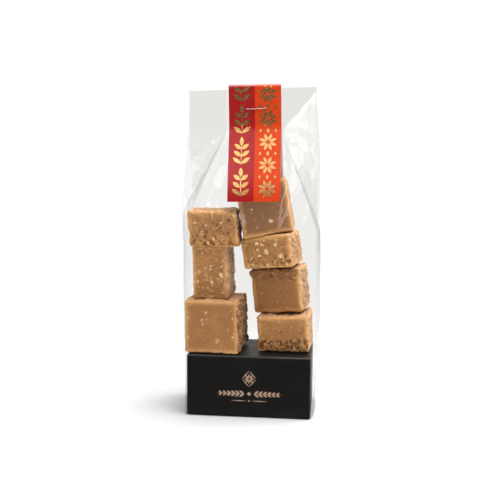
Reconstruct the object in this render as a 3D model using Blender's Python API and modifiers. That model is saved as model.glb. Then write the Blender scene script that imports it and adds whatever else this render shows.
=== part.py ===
"""Clear block-bottom bag of peanut fudge cubes on a card base, shut by a folded label and a staple.

Metres, +Z up. X runs along the width of the bag, Y from its front (-Y) to its back (+Y), and the
origin is the centre of the card base's underside.

The bag is one closed solid of its outer form: an upright body whose sides bulge a little, a roof
where the front and the back come together, and a pinched flat strip at the top. The pinch rises
to the top corner on the right, where the strip springs open. Under the strip a triangular pleat
folds in at each side. The card base stands under the bag's body.
"""
import math

import bmesh
import bpy
import numpy as np
from mathutils import Matrix

# Card base: a folded box of black card.
BASE_WIDTH = 0.0750
BASE_DEPTH = 0.0447
BASE_HEIGHT = 0.0377
BASE_FOLD_RADIUS = 0.0011
BASE_FOLD_SEGMENTS = 4

# Gap kept between pieces that touch.
GAP = 0.0003

# Bag: half sizes of its body, and the heights where its form changes.
BODY_HALF_WIDTH = 0.0385
BODY_HALF_DEPTH = 0.0230
SIDE_BULGE = 0.0042
CREASE_RADIUS = 0.0022
SHOULDER_HEIGHT = 0.1130
PINCH_HEIGHT = 0.1735
PINCH_RISE_START = 0.0176
PINCH_RISE = 1.02
TOP_HEIGHT = 0.1966
TOP_TILT = math.radians(1.9)
TOP_HALF_THICKNESS = 0.0008
ROOF_ROUNDING = 0.0060
BODY_LEVELS = 5
ROOF_LEVELS = 15
STRIP_LEVELS = 5

# Side pleats: each leans in from the shoulder to its depth at the inner top, and its open outer
# end reaches higher on the right, where the pinch does.
PLEAT_DEPTH = 0.0215
PLEAT_WALL = 0.0012
PLEAT_INNER_TOP = 0.1690
PLEAT_OUTER_TOPS = {"left": 0.1690, "right": 0.1895}

# Label: a card strip folded over the bag's top, with one leg in front and one behind.
LABEL_WIDTH = 0.0316
LABEL_THICKNESS = 0.0004
LABEL_BOTTOM_HEIGHT = 0.1300
LABEL_FOLD_HEIGHT = 0.1992
LABEL_CENTRE_X = 0.0012
LABEL_LEAN = math.radians(1.1)
LABEL_LEG_POINTS = 24
LABEL_FOLD_POINTS = 5

# Staple: round wire driven from the front, with its two ends folded in behind.
STAPLE_CROWN = 0.0127
STAPLE_CENTRE = (0.0018, 0.1849)
STAPLE_LEAN = math.radians(-3.2)
STAPLE_WIRE_RADIUS = 0.00025
STAPLE_HOLE_RADIUS = STAPLE_WIRE_RADIUS + GAP
STAPLE_END = 0.0052
STAPLE_BEND_POINTS = 4

PARTS = "fudge_bag"
CUTTERS = "fudge_bag_cutters"


def clear_scene():
    """Remove every object, mesh and curve, so that each run starts alike."""
    for item in list(bpy.data.objects):
        bpy.data.objects.remove(item, do_unlink=True)
    for store in (bpy.data.meshes, bpy.data.curves, bpy.data.materials, bpy.data.collections):
        for item in list(store):
            store.remove(item)


def new_collection(name):
    """A collection of the scene for the parts or for the cutters."""
    collection = bpy.data.collections.new(name)
    bpy.context.scene.collection.children.link(collection)
    return collection


def material(name, colour, roughness, metallic=0.0, alpha=1.0):
    """A Principled material with one colour."""
    result = bpy.data.materials.new(name)
    result.use_nodes = True
    shader = result.node_tree.nodes["Principled BSDF"]
    shader.inputs["Base Color"].default_value = (*colour, 1.0)
    shader.inputs["Roughness"].default_value = roughness
    shader.inputs["Metallic"].default_value = metallic
    shader.inputs["Alpha"].default_value = alpha
    return result


def add_object(name, data, collection, surface=None):
    """Put mesh or curve data into the scene under the node's name."""
    item = bpy.data.objects.new(name, data)
    collection.objects.link(item)
    if surface is not None:
        data.materials.append(surface)
    return item


def mesh_from(name, build):
    """A mesh filled by build(bm), with all its faces turned outwards."""
    bm = bmesh.new()
    build(bm)
    bmesh.ops.recalc_face_normals(bm, faces=bm.faces)
    mesh = bpy.data.meshes.new(name)
    bm.to_mesh(mesh)
    bm.free()
    return mesh


def shade_smooth(item, angle=math.radians(30)):
    """Smooth shading up to the given angle between faces."""
    item.data.shade_smooth()
    item.data.set_sharp_from_angle(angle=angle)


def subtract(item, cutters):
    """Take each cutter away from a part with a live Boolean."""
    for cutter in cutters:
        cut = item.modifiers.new(f"cut_{cutter.name}", "BOOLEAN")
        cut.operation = "DIFFERENCE"
        cut.object = cutter


def smooth_min(first, second, rounding):
    """The lower of two values, with the corner between them rounded."""
    blend = np.clip(0.5 + 0.5 * (second - first) / rounding, 0.0, 1.0)
    return second + (first - second) * blend - rounding * blend * (1.0 - blend)


def pinch_height(x):
    """Height where the front meets the back: level, then rising to the right corner."""
    return PINCH_HEIGHT + PINCH_RISE * np.maximum(np.asarray(x) - PINCH_RISE_START, 0.0)


def bag_half_depth(x, height):
    """Half the bag's depth: constant up the body, then down a straight roof to the pinched strip."""
    pinch = pinch_height(x)
    slope = (BODY_HALF_DEPTH - TOP_HALF_THICKNESS) / (pinch - SHOULDER_HEIGHT)
    roof = TOP_HALF_THICKNESS + (pinch - height) * slope
    under_roof = smooth_min(BODY_HALF_DEPTH, roof, ROOF_ROUNDING)
    return np.maximum(under_roof, TOP_HALF_THICKNESS)


def side_outline(side, height):
    """One side of the bag at one height, from its front round to its back, as x and y.

    It is a rounded crease, a side that bulges out as a flat arc, and a second rounded crease. The
    bulge and the creases' radius fade with the depth.
    """
    half_depth = float(bag_half_depth(side * BODY_HALF_WIDTH, height))
    fullness = (half_depth - TOP_HALF_THICKNESS) / (BODY_HALF_DEPTH - TOP_HALF_THICKNESS)
    radius = min(CREASE_RADIUS * fullness, 0.5 * half_depth) + 0.4 * TOP_HALF_THICKNESS
    bulge = SIDE_BULGE * fullness ** 2
    half = []
    for turn in np.linspace(0.0, math.pi / 2, 4):
        x = BODY_HALF_WIDTH - radius + radius * math.sin(turn)
        y = half_depth - radius + radius * math.cos(turn)
        half.append((side * x, y))
    for share in (0.72, 0.42, 0.15):
        x = BODY_HALF_WIDTH + bulge * (1.0 - share ** 2)
        half.append((side * x, (half_depth - radius) * share))
    return [(x, -y) for x, y in half] + half[::-1]


def bag_section(height):
    """The bag's outline at one height, as x and y, anticlockwise from the front left crease."""
    right = side_outline(1, height)
    left = side_outline(-1, height)[::-1]
    between = np.linspace(PINCH_RISE_START, right[0][0], 4)[:-1]
    front = [(x, -float(bag_half_depth(x, height))) for x in between]
    back = [(x, -y) for x, y in reversed(front)]
    return front + right + back + left


def bag_levels():
    """Heights of the loft's sections: even up the body, close together up the roof."""
    underside = BASE_HEIGHT + GAP
    body = np.linspace(underside, SHOULDER_HEIGHT - ROOF_ROUNDING * 2.5, BODY_LEVELS)
    roof = np.linspace(SHOULDER_HEIGHT - ROOF_ROUNDING * 1.5, PINCH_HEIGHT, ROOF_LEVELS)
    strip = np.linspace(PINCH_HEIGHT, TOP_HEIGHT, STRIP_LEVELS + 1)[1:]
    return [*body, *roof, *strip]


def loft_bag(bm):
    """Join the bag's sections with quads and close both ends. The top edge slopes up to the right."""
    rings = []
    for height in bag_levels():
        share = max(height - PINCH_HEIGHT, 0.0) / (TOP_HEIGHT - PINCH_HEIGHT)
        tilt = share * math.tan(TOP_TILT)
        rings.append([bm.verts.new((x, y, height + x * tilt)) for x, y in bag_section(height)])
    count = len(rings[0])
    for lower, upper in zip(rings, rings[1:]):
        for index in range(count):
            after = (index + 1) % count
            bm.faces.new((lower[index], lower[after], upper[after], upper[index]))
    bm.faces.new(rings[0][::-1])
    bm.faces.new(rings[-1])


def pleat_cutter(name, side, outer_top, collection):
    """The hollow of one side pleat: a wedge between the roof's two walls.

    Its floor leans in from the side crease at the shoulder to the pleat's depth at its top, and
    its two sides come together along a ridge that runs out to the bag's edge.
    """
    outer = BODY_HALF_WIDTH + 2.0 * SIDE_BULGE
    start = BODY_HALF_WIDTH + SIDE_BULGE
    half_depth = BODY_HALF_DEPTH - PLEAT_WALL
    low = SHOULDER_HEIGHT - 0.5 * ROOF_ROUNDING
    corners = [(outer, -half_depth, low), (outer, half_depth, low)]
    corners += [(start, -half_depth, low), (start, half_depth, low)]
    corners += [(outer, 0.0, outer_top), (BODY_HALF_WIDTH - PLEAT_DEPTH, 0.0, PLEAT_INNER_TOP)]

    def build(bm):
        for x, y, z in corners:
            bm.verts.new((side * x, y, z))
        bmesh.ops.convex_hull(bm, input=bm.verts)

    cutter = add_object(name, mesh_from(name, build), collection)
    cutter.hide_render = True
    cutter.display_type = "WIRE"
    return cutter


def staple_frame():
    """Where the staple lies: its crown along X, turned a little about Y."""
    x, z = STAPLE_CENTRE
    return Matrix.Translation((x, 0.0, z)) @ Matrix.Rotation(STAPLE_LEAN, 4, "Y")


def leg_cutter(name, side, collection):
    """A round hole through label and bag for one leg of the staple."""
    reach = 4.0 * (TOP_HALF_THICKNESS + LABEL_THICKNESS + GAP)
    bpy.ops.mesh.primitive_cylinder_add(vertices=12, radius=STAPLE_HOLE_RADIUS, depth=reach)
    cutter = bpy.context.object
    cutter.name = name
    for owner in list(cutter.users_collection):
        owner.objects.unlink(cutter)
    collection.objects.link(cutter)
    leg = side * (STAPLE_CROWN / 2 - STAPLE_WIRE_RADIUS)
    upright = Matrix.Translation((leg, 0.0, 0.0)) @ Matrix.Rotation(math.pi / 2, 4, "X")
    cutter.matrix_world = staple_frame() @ upright
    cutter.hide_render = True
    cutter.display_type = "WIRE"
    return cutter


def make_base(collection):
    """The card base: a box with soft folded edges."""
    bpy.ops.mesh.primitive_cube_add(size=1.0)
    base = bpy.context.object
    base.name = "card_base"
    for owner in list(base.users_collection):
        owner.objects.unlink(base)
    collection.objects.link(base)
    size = Matrix.Diagonal((BASE_WIDTH, BASE_DEPTH, BASE_HEIGHT, 1.0))
    base.data.transform(size)
    base.location = (0.0, 0.0, BASE_HEIGHT / 2)
    folds = base.modifiers.new("folded_edges", "BEVEL")
    folds.width = BASE_FOLD_RADIUS
    folds.segments = BASE_FOLD_SEGMENTS
    base.data.materials.append(material("black_card", (0.011, 0.011, 0.010), 0.62))
    shade_smooth(base)
    return base


def make_bag(collection, cutters):
    """The filled bag: the lofted body with its pleats and the staple's holes taken out."""
    film = material("clear_film", (0.86, 0.86, 0.84), 0.12, alpha=0.35)
    bag = add_object("bag", mesh_from("bag", loft_bag), collection, film)
    subtract(bag, cutters)
    shade_smooth(bag)
    return bag


def label_path():
    """The label's middle line in the YZ plane, from the front leg's end over the fold to the back.

    Each leg keeps a gap to the bag's roof and strip. The fold is a half circle between the legs.
    """
    offset = GAP + LABEL_THICKNESS / 2
    slope = (BODY_HALF_DEPTH - TOP_HALF_THICKNESS) / (PINCH_HEIGHT - SHOULDER_HEIGHT)
    roof_offset = offset * math.hypot(1.0, slope)
    strip_offset = TOP_HALF_THICKNESS + offset
    fold_start = LABEL_FOLD_HEIGHT - strip_offset
    heights = np.linspace(LABEL_BOTTOM_HEIGHT, fold_start, LABEL_LEG_POINTS)
    on_roof = TOP_HALF_THICKNESS + (PINCH_HEIGHT - heights) * slope + roof_offset
    depths = -smooth_min(-on_roof, np.full_like(heights, -strip_offset), 2.0 * offset)
    front = [(-depth, height) for depth, height in zip(depths, heights)]
    turns = np.linspace(0.0, math.pi, LABEL_FOLD_POINTS + 2)[1:-1]
    last = depths[-1]
    fold = [(-last * math.cos(t), fold_start + last * math.sin(t)) for t in turns]
    back = [(-y, z) for y, z in reversed(front)]
    return front + fold + back


def make_label(collection, cutters):
    """The folded label: its path carried across its width, then given the card's thickness."""
    path = label_path()
    half = LABEL_WIDTH / 2

    def build(bm):
        left = [bm.verts.new((-half, y, z)) for y, z in path]
        right = [bm.verts.new((half, y, z)) for y, z in path]
        for i in range(len(path) - 1):
            bm.faces.new((left[i], right[i], right[i + 1], left[i + 1]))

    red = material("red_card", (0.52, 0.03, 0.02), 0.45)
    label = add_object("label", mesh_from("label", build), collection, red)
    middle = (LABEL_BOTTOM_HEIGHT + LABEL_FOLD_HEIGHT) / 2
    label.data.transform(Matrix.Translation((0.0, 0.0, -middle)))
    label.location = (LABEL_CENTRE_X, 0.0, middle)
    label.rotation_euler = (0.0, -LABEL_LEAN, 0.0)
    card = label.modifiers.new("card", "SOLIDIFY")
    card.thickness = LABEL_THICKNESS
    card.offset = 0.0
    subtract(label, cutters)
    shade_smooth(label)
    return label


def staple_path():
    """The wire's middle line from one folded end, through, along the crown and back to the other."""
    depth = TOP_HALF_THICKNESS + 2.0 * GAP + LABEL_THICKNESS + STAPLE_WIRE_RADIUS
    half = STAPLE_CROWN / 2 - STAPLE_WIRE_RADIUS
    bend = 2.0 * STAPLE_WIRE_RADIUS
    right = [(0.0, -depth)]
    for turn in np.linspace(0.0, math.pi / 2, STAPLE_BEND_POINTS):
        right.append((half - bend + bend * math.sin(turn), -depth + bend - bend * math.cos(turn)))
    for turn in np.linspace(0.0, math.pi / 2, STAPLE_BEND_POINTS):
        right.append((half - bend + bend * math.cos(turn), depth - bend + bend * math.sin(turn)))
    right.append((half - STAPLE_END, depth + STAPLE_WIRE_RADIUS))
    left = [(-x, y) for x, y in reversed(right[1:])]
    return left + right[1:]


def make_staple(collection):
    """The staple: one round wire along its path."""
    wire = bpy.data.curves.new("staple", "CURVE")
    wire.dimensions = "3D"
    wire.bevel_depth = STAPLE_WIRE_RADIUS
    wire.bevel_resolution = 2
    wire.use_fill_caps = True
    line = wire.splines.new("POLY")
    path = staple_path()
    line.points.add(len(path) - 1)
    for point, (x, y) in zip(line.points, path):
        point.co = (x, y, 0.0, 1.0)
    steel = material("staple_wire", (0.60, 0.60, 0.58), 0.28, metallic=1.0)
    staple = add_object("staple", wire, collection, steel)
    staple.matrix_world = staple_frame()
    return staple


def main():
    clear_scene()
    parts = new_collection(PARTS)
    cutters = new_collection(CUTTERS)
    pleats = []
    legs = []
    for name, side in (("left", -1), ("right", 1)):
        pleats.append(pleat_cutter(f"pleat_{name}", side, PLEAT_OUTER_TOPS[name], cutters))
        legs.append(leg_cutter(f"leg_{name}", side, cutters))
    make_base(parts)
    make_bag(parts, pleats + legs)
    make_label(parts, legs)
    make_staple(parts)


main()
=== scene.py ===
"""Looks of a clear block-bottom bag of peanut fudge, laid out as an add-on and run as a script.

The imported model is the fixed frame. The card base and the staple keep their own meshes and get
their finishes here. The filled bag is replaced by a thin film with real folded-in pleats and by
seven separate pieces of fudge, and the plain label by a finer one. Foil ornament lies on the
label and on the base. +X is right, +Y back and +Z up. Shapes are worked out in millimetres, and
mesh_piece turns them into metres. Lengths among the settings are metres.
"""
import math
from collections import namedtuple
from functools import partial

import bpy
import numpy as np
from bpy.props import FloatProperty, FloatVectorProperty, IntProperty, PointerProperty
from bpy.types import Operator, Panel, PropertyGroup
from mathutils import Matrix, Vector


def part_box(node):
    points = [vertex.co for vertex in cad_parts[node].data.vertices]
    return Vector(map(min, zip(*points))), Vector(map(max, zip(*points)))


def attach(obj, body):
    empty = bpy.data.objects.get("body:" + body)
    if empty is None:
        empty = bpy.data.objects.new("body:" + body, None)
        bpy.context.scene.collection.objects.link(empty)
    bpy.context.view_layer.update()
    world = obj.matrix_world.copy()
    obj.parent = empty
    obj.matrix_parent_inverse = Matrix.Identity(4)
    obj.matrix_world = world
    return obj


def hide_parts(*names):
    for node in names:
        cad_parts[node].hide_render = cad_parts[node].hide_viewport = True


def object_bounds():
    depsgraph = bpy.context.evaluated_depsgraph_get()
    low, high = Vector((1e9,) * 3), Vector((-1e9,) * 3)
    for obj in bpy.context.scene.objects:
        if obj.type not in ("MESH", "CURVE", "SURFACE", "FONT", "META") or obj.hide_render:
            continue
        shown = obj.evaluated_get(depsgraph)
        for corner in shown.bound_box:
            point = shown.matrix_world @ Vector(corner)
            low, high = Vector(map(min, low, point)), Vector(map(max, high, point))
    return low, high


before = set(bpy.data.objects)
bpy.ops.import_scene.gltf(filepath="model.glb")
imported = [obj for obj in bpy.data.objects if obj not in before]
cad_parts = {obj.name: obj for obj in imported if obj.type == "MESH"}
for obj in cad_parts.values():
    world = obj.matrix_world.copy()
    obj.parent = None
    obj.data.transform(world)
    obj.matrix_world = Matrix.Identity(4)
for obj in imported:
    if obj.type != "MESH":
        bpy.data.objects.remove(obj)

bl_info = {
    "name": "Fudge Bag",
    "version": (1, 0, 0),
    "blender": (4, 5, 0),
    "location": "View3D > Sidebar > Fudge Bag",
    "description": "Builds a clear bag of peanut fudge pieces round its packed frame",
    "category": "Object",
}

MM = 0.001

CAD_LOW, CAD_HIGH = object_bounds()
BASE_LOW, BASE_HIGH = (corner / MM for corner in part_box("card_base"))
BAG_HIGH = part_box("bag")[1] / MM

# Film: the body's half sizes, and the heights where its form changes.
BODY_HALF_DEPTH = BAG_HIGH.y - 0.05
CREASE_HALF_WIDTH = 38.3
SHOULDER_HEIGHT = 113.0
LEFT_SHOULDER_HEIGHT = 124.0
PINCH_HEIGHT = 173.5
PINCH_RISE_START = 17.6
PINCH_RISE = 1.02
TOP_HEIGHT = 196.6
TOP_TILT = math.radians(1.9)
TOP_HALF_THICKNESS = 0.8
ROOF_ROUNDING = 6.0
PLEAT_DEPTH = 21.3
PLEAT_TOP = 171.5
FILM_UNDERSIDE = -0.1
PANEL_END = 0.4  # a panel's columns stop this far short of its crease

# Film: steps of its grid over a pleat's flap, the middle of a panel, a crease and a gusset.
FLAP_STEPS = 26
PANEL_STEPS = 40
ARC_STEPS = 4
GUSSET_STEPS = 12

# Label: the folded strip's sizes, its lean and the steps of its grid.
LABEL_WIDTH = 31.6
LABEL_THICKNESS = 0.4
LABEL_GAP = 0.3
LABEL_BOTTOM = 130.0
LABEL_FOLD = 199.2
LABEL_CENTRE_X = 1.2
LABEL_LEAN = math.radians(1.1)
LABEL_TUCK_START = 145.0
LABEL_TUCK = 1.9
LABEL_COLUMNS, LABEL_ROWS = 25, 190

# Base ornament: its middle, and the heights of its flower, its garland and its rule.
ORNAMENT_X = 0.6
FLOWER_Z, GARLAND_Z, RULE_Z = 23.8, 14.5, 10.1
UPWARDS = math.pi / 2

# Stage: the way to the window in reflections, and the angles where it starts and is full.
WINDOW_WAY = (-0.509, -0.713, 0.485)
WINDOW_EDGE, WINDOW_FULL = math.cos(math.radians(16)), math.cos(math.radians(11))
FLOOR_HALF = 4000.0
FLOOR_DROP = 0.05
# Stage: the softboxes' places and sizes, in metres.
TOP_SOFTBOX_PLACE, TOP_SOFTBOX_SIZE = (0.12, -0.02, CAD_HIGH.z + 0.50), (0.55, 0.45)
RIGHT_SOFTBOX_PLACE, RIGHT_SOFTBOX_SIZE = (0.75, 0.20, 0.32), (0.5, 0.7)

# Edges are sharp where faces meet at more than these degrees.
FILM_ANGLE, LABEL_ANGLE, FOIL_ANGLE = 32, 40, 30

# The six faces: the axis that each looks along, and its sign.
FACES = {"left": (0, -1), "right": (0, 1), "front": (1, -1), "back": (1, 1), "under": (2, -1),
         "top": (2, 1)}

# A piece of fudge: its place above the middle of the base's top, its size, its turn (yaw, lean,
# nod in degrees), how far each corner of its outline seen from the front is moved (x, z, for
# upper left, upper right, lower left, lower right), the style of each face that isn't plainly
# cut, the larger nuts and holes of its front, its seed, its tone (above 0 lighter) and its right
# side (above 0 the share of painted haze that pales it, below 0 how strongly painted shade
# darkens it).
Fudge = namedtuple("Fudge", "name place size turn corners faces marks seed tone side")
# A style is a name, or (upper style, lower style, share of the height where they meet).
# A mark is (kind, across, up, radius): across and up run from -1 to 1 over the front.
FUDGE_PIECES = [
    Fudge("fudge_left_bottom", (-21.8, -3.7, 0.2), (32.5, 33.8, 32.4), (-4.2, -0.5, 0.2),
          ((0.0, 0.0), (0.3, 0.0), (-0.2, 0.0), (0.8, 0.0)),
          {"front": "skin", "right": "torn", "back": "skin", "top": "settled"},
          [("faint", -0.18, 0.52, 0.9), ("faint", -0.33, 0.26, 1.1), ("faint", 0.22, -0.52, 1.5),
           ("nut", -0.30, 0.10, 0.5), ("nut", 0.80, 0.36, 0.6), ("nut", 0.80, -0.36, 0.7)],
          11, -0.35, -0.22),
    Fudge("fudge_left_middle", (-24.1, 2.2, 32.2), (21.6, 27.0, 32.7), (-3.4, -1.6, -0.5),
          ((0.3, 0.0), (0.1, 0.0), (0.3, -0.4), (0.3, -0.3)),
          {"front": "sliced", "right": "crumbly"},
          [("nut", 0.66, -0.1, 1.3), ("faint", -0.62, 0.05, 1.5), ("nut", 0.1, -0.36, 0.8),
           ("nut", 0.05, 0.12, 0.6)], 29, 0.0, 1.2),
    Fudge("fudge_left_top", (-23.4, -0.6, 64.9), (30.6, 25.2, 21.3), (2.7, -1.3, 0.4),
          ((0.1, 0.3), (-0.5, 0.0), (0.3, -0.2), (1.0, -0.4)),
          {"front": ("combed", "ragged", 0.10), "right": "torn", "left": ("cut", "undercut", 0.42),
           "top": "chunky"},
          [("peel", -0.10, -0.66, 1.7), ("hole", 0.0, -0.86, 1.0), ("hole", -0.30, -0.90, 1.2),
           ("nut", -0.02, -0.60, 1.1), ("nut", -0.22, -0.78, 0.9), ("nut", -0.72, 0.34, 0.8),
           ("nut", 0.84, 0.72, 1.0), ("hole", 0.62, 0.50, 0.8)], 37, -0.1, -1.0),
    Fudge("fudge_right_bottom", (21.0, 1.6, 0.4), (31.3, 29.0, 21.9), (-3.2, -2.0, -0.3),
          ((0.0, 0.0), (0.0, 0.0), (0.0, 0.0), (0.3, 0.0)),
          {"front": ("pored", "ragged", 0.34), "right": "chunky", "left": "torn", "top": "crumbly"},
          [("hole", -0.06, 0.12, 0.5), ("hole", -0.14, 0.06, 0.4), ("nut", 0.72, -0.24, 0.6)],
          41, -0.3, 0.65),
    Fudge("fudge_right_lower", (17.8, 7.6, 23.6), (31.4, 24.2, 27.0), (-10.0, -5.0, 1.5),
          ((0.9, 0.0), (0.1, 0.2), (1.0, 0.0), (0.5, 0.0)),
          {"front": ("clumpy", "skin", 0.78), "right": "chunky", "left": ("overhang", "cut", 0.79),
           "top": "crumbly"},
          [("faint", 0.0, -0.48, 0.6), ("nut", -0.62, -0.10, 0.4)], 59, -0.75, 0.6),
    Fudge("fudge_right_upper", (12.8, 2.6, 51.9), (31.2, 25.4, 19.6), (-12.3, -6.4, 0.7),
          ((-0.3, -0.5), (0.1, 0.5), (0.4, 0.2), (0.1, -0.2)),
          {"front": ("nutty", "bristly", 0.28), "right": "chunky", "top": "skin"},
          [("nut", -0.34, 0.58, 1.1), ("nut", -0.12, 0.46, 1.0), ("nut", 0.02, 0.02, 1.4),
           ("nut", 0.60, -0.30, 1.5), ("hole", 0.16, 0.46, 0.5), ("hole", 0.72, 0.06, 0.5)],
          67, 0.1, 0.45),
    Fudge("fudge_right_top", (10.7, 1.0, 72.2), (31.4, 20.4, 31.7), (0.8, -10.8, -0.7),
          ((0.6, 0.0), (-0.3, 0.0), (-0.2, -0.4), (-0.5, 0.0)),
          {"front": "skin", "top": "crumbly"},
          [("nut", 0.16, -0.48, 1.2), ("nut", -0.5, 0.06, 0.6)], 83, -1.7, 0.7),
]
SHADED_HAZE = 0.45  # share of painted haze on the right side of a piece whose right side is in painted shade
LEAST_GAP = 0.1  # the least room between a piece and the card base
# What each point of a piece tells its material.
FUDGE_VALUES = ("nut", "peel", "cavity", "edge", "crest", "coarse", "upright", "level", "bloom",
                "tone")

# Folds pressed into the film: from x, z to x, z, the height outwards and the reach.
FRONT_CREASES = [
    (17.6, 172.0, 34.0, 164.0, -1.8, 6.0), (36.9, 188.0, 33.8, 164.0, 0.9, 3.5),
    (26.0, 165.0, 31.7, 151.0, 1.5, 4.5), (31.0, 143.0, 24.5, 131.0, 0.8, 2.4),
    (23.0, 136.0, 18.3, 113.5, 0.90, 3.6), (17.0, 168.0, 22.0, 132.0, -1.0, 5.0),
    (-14.9, 171.0, -32.5, 156.0, -2.2, 6.5), (-38.6, 172.0, -34.4, 158.0, 1.4, 4.5),
    (-34.4, 159.0, -38.2, 134.0, -1.4, 5.0), (-15.5, 170.0, -24.0, 163.0, 1.3, 3.5),
    (-16.5, 165.0, -31.5, 138.0, 1.6, 4.5), (-16.5, 160.0, -27.0, 129.0, -1.2, 5.0),
    (-38.0, 126.0, -31.0, 84.0, 0.8, 7.0),
]
BACK_CREASES = [
    (17.0, 172.0, 38.0, 150.0, 1.8, 8.0), (-17.0, 172.0, -38.0, 146.0, 1.6, 8.0),
    (-20.0, 165.0, -32.0, 120.0, -1.4, 6.0), (20.0, 165.0, 30.0, 118.0, -1.4, 6.0),
    (4.0, 168.0, -9.0, 126.0, 1.2, 6.0), (30.0, 110.0, -6.0, 62.0, 0.8, 8.0),
    (-34.0, 100.0, -2.0, 70.0, -0.7, 8.0),
]


# ---------------------------------------------------------------- noise on arrays of points

def lattice_hash(cells, seed):
    """A 32-bit number for each whole-number lattice point: its coordinates times large odd
    numbers, added, then mixed by exclusive-or with shifted copies of itself."""
    x, y, z = (cells[:, axis].astype(np.uint32) for axis in range(3))
    mixed = x * np.uint32(374761393) + y * np.uint32(668265263) + z * np.uint32(2246822519)
    mixed = mixed + np.uint32((seed * 97 + 13) * 3266489917 % 2 ** 32)
    mixed = (mixed ^ (mixed >> np.uint32(15))) * np.uint32(2246822519)
    mixed = (mixed ^ (mixed >> np.uint32(13))) * np.uint32(3266489917)
    return mixed ^ (mixed >> np.uint32(16))


def hash_vector(cells, seed):
    """Three numbers from 0 to 1 for each lattice point, from 10 bits each of its hash."""
    bits = lattice_hash(cells, seed)
    parts = [(bits >> np.uint32(shift)) & np.uint32(1023) for shift in (0, 10, 20)]
    return np.stack(parts, axis=1) / 1023.0


def gradient_noise(points, size, seed):
    """Smooth noise from about -1 to 1 with features of the given size (one, or one per axis).

    At each corner of the cell a random gradient is dotted with the way to the point, and the
    eight results are blended by the fifth-power fade 6t^5 - 15t^4 + 10t^3.
    """
    q = points / np.asarray(size)
    cell = np.floor(q).astype(np.int64)
    local = q - cell
    fade = local ** 3 * (local * (local * 6.0 - 15.0) + 10.0)
    total = np.zeros(len(points))
    for corner in np.ndindex(2, 2, 2):
        corner = np.array(corner)
        gradient = hash_vector(cell + corner, seed) * 2.0 - 1.0
        weight = np.prod(np.where(corner, fade, 1.0 - fade), axis=1)
        total += weight * np.sum(gradient * (local - corner), axis=1)
    return total * 1.6


def layered_noise(points, size, seed, layers=3):
    """Gradient noise summed over layers, each of half the size and half the height."""
    total = np.zeros(len(points))
    for layer in range(layers):
        total += gradient_noise(points, np.asarray(size) / 2 ** layer, seed + layer) / 2 ** layer
    return total


def cell_noise(points, size, seed):
    """Way to the nearest scattered point, in cell sizes, and that point's random numbers.

    Each lattice cell holds one point at a random place, and the 27 cells around are searched.
    """
    q = points / np.asarray(size)
    cell = np.floor(q).astype(np.int64)
    nearest = np.full(len(points), 9.0)
    way = np.zeros((len(points), 3))
    home = np.zeros((len(points), 3), np.int64)
    for step in np.ndindex(3, 3, 3):
        beside = cell + np.array(step) - 1
        there = beside + hash_vector(beside, seed) - q
        distance = np.einsum("ij,ij->i", there, there)
        closer = distance < nearest
        nearest[closer] = distance[closer]
        way[closer] = there[closer]
        home[closer] = beside[closer]
    return way, hash_vector(home, seed + 7)


def ramp(value, start, end):
    """0 up to start, 1 from end, and the smooth 3t^2 - 2t^3 between."""
    t = unit((np.asarray(value) - start) / (end - start))
    return t * t * (3.0 - 2.0 * t)


def unit(value, most=1.0):
    """A value held between 0 and the most."""
    return np.clip(value, 0.0, most)


def fall(value, start, end):
    """1 up to start, 0 from end, and smooth between."""
    return 1.0 - ramp(value, start, end)


def smooth_min(first, second, rounding):
    """The lower of two values, with the corner between them rounded."""
    blend = unit(0.5 + 0.5 * (second - first) / rounding)
    return second + (first - second) * blend - rounding * blend * (1.0 - blend)


def smooth_max(first, second, rounding):
    """The higher of two values, with the corner between them rounded."""
    return -smooth_min(-first, -second, rounding)


# ---------------------------------------------------------------- meshes

def mesh_piece(name, points, faces, material, smooth_angle=None, values=None, face_values=None):
    """An object with its place in its mesh, from arrays of points and of triangles or quads.

    values and face_values are named numbers on the points and on the faces. A list of several
    face arrays is allowed. Edges are sharp past the smooth angle, in degrees. Without one the
    whole surface is shaded smooth.
    """
    faces = faces if isinstance(faces, list) else [faces]
    counts = np.concatenate([np.full(len(f), f.shape[1]) for f in faces])
    corners = np.concatenate([f.ravel() for f in faces])
    mesh = bpy.data.meshes.new(name)
    mesh.vertices.add(len(points))
    mesh.vertices.foreach_set("co", (points * MM).astype(np.float32).ravel())
    mesh.loops.add(len(corners))
    mesh.loops.foreach_set("vertex_index", corners.astype(np.int32))
    mesh.polygons.add(len(counts))
    starts = np.concatenate([[0], np.cumsum(counts)[:-1]])
    mesh.polygons.foreach_set("loop_start", starts.astype(np.int32))
    mesh.polygons.foreach_set("loop_total", counts.astype(np.int32))
    mesh.update(calc_edges=True)
    for domain, named in (("POINT", values), ("FACE", face_values)):
        for key, numbers in (named or {}).items():
            attribute = mesh.attributes.new(key, "FLOAT", domain)
            attribute.data.foreach_set("value", np.asarray(numbers, np.float32))
    mesh.shade_smooth()
    if smooth_angle is not None:
        mesh.set_sharp_from_angle(angle=math.radians(smooth_angle))
    mesh.materials.append(material)
    item = linked(name, mesh)
    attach(item, "root")
    return item


def grid_quads(rows, columns, offset=0, closed=False):
    """Quads of a grid of points stored row by row; closed joins the last column to the first."""
    index = offset + np.arange(rows * columns).reshape(rows, columns)
    after = np.roll(index, -1, axis=1) if closed else index[:, 1:]
    here = index if closed else index[:, :-1]
    return np.stack([here[:-1], after[:-1], after[1:], here[1:]], axis=-1).reshape(-1, 4)


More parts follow.
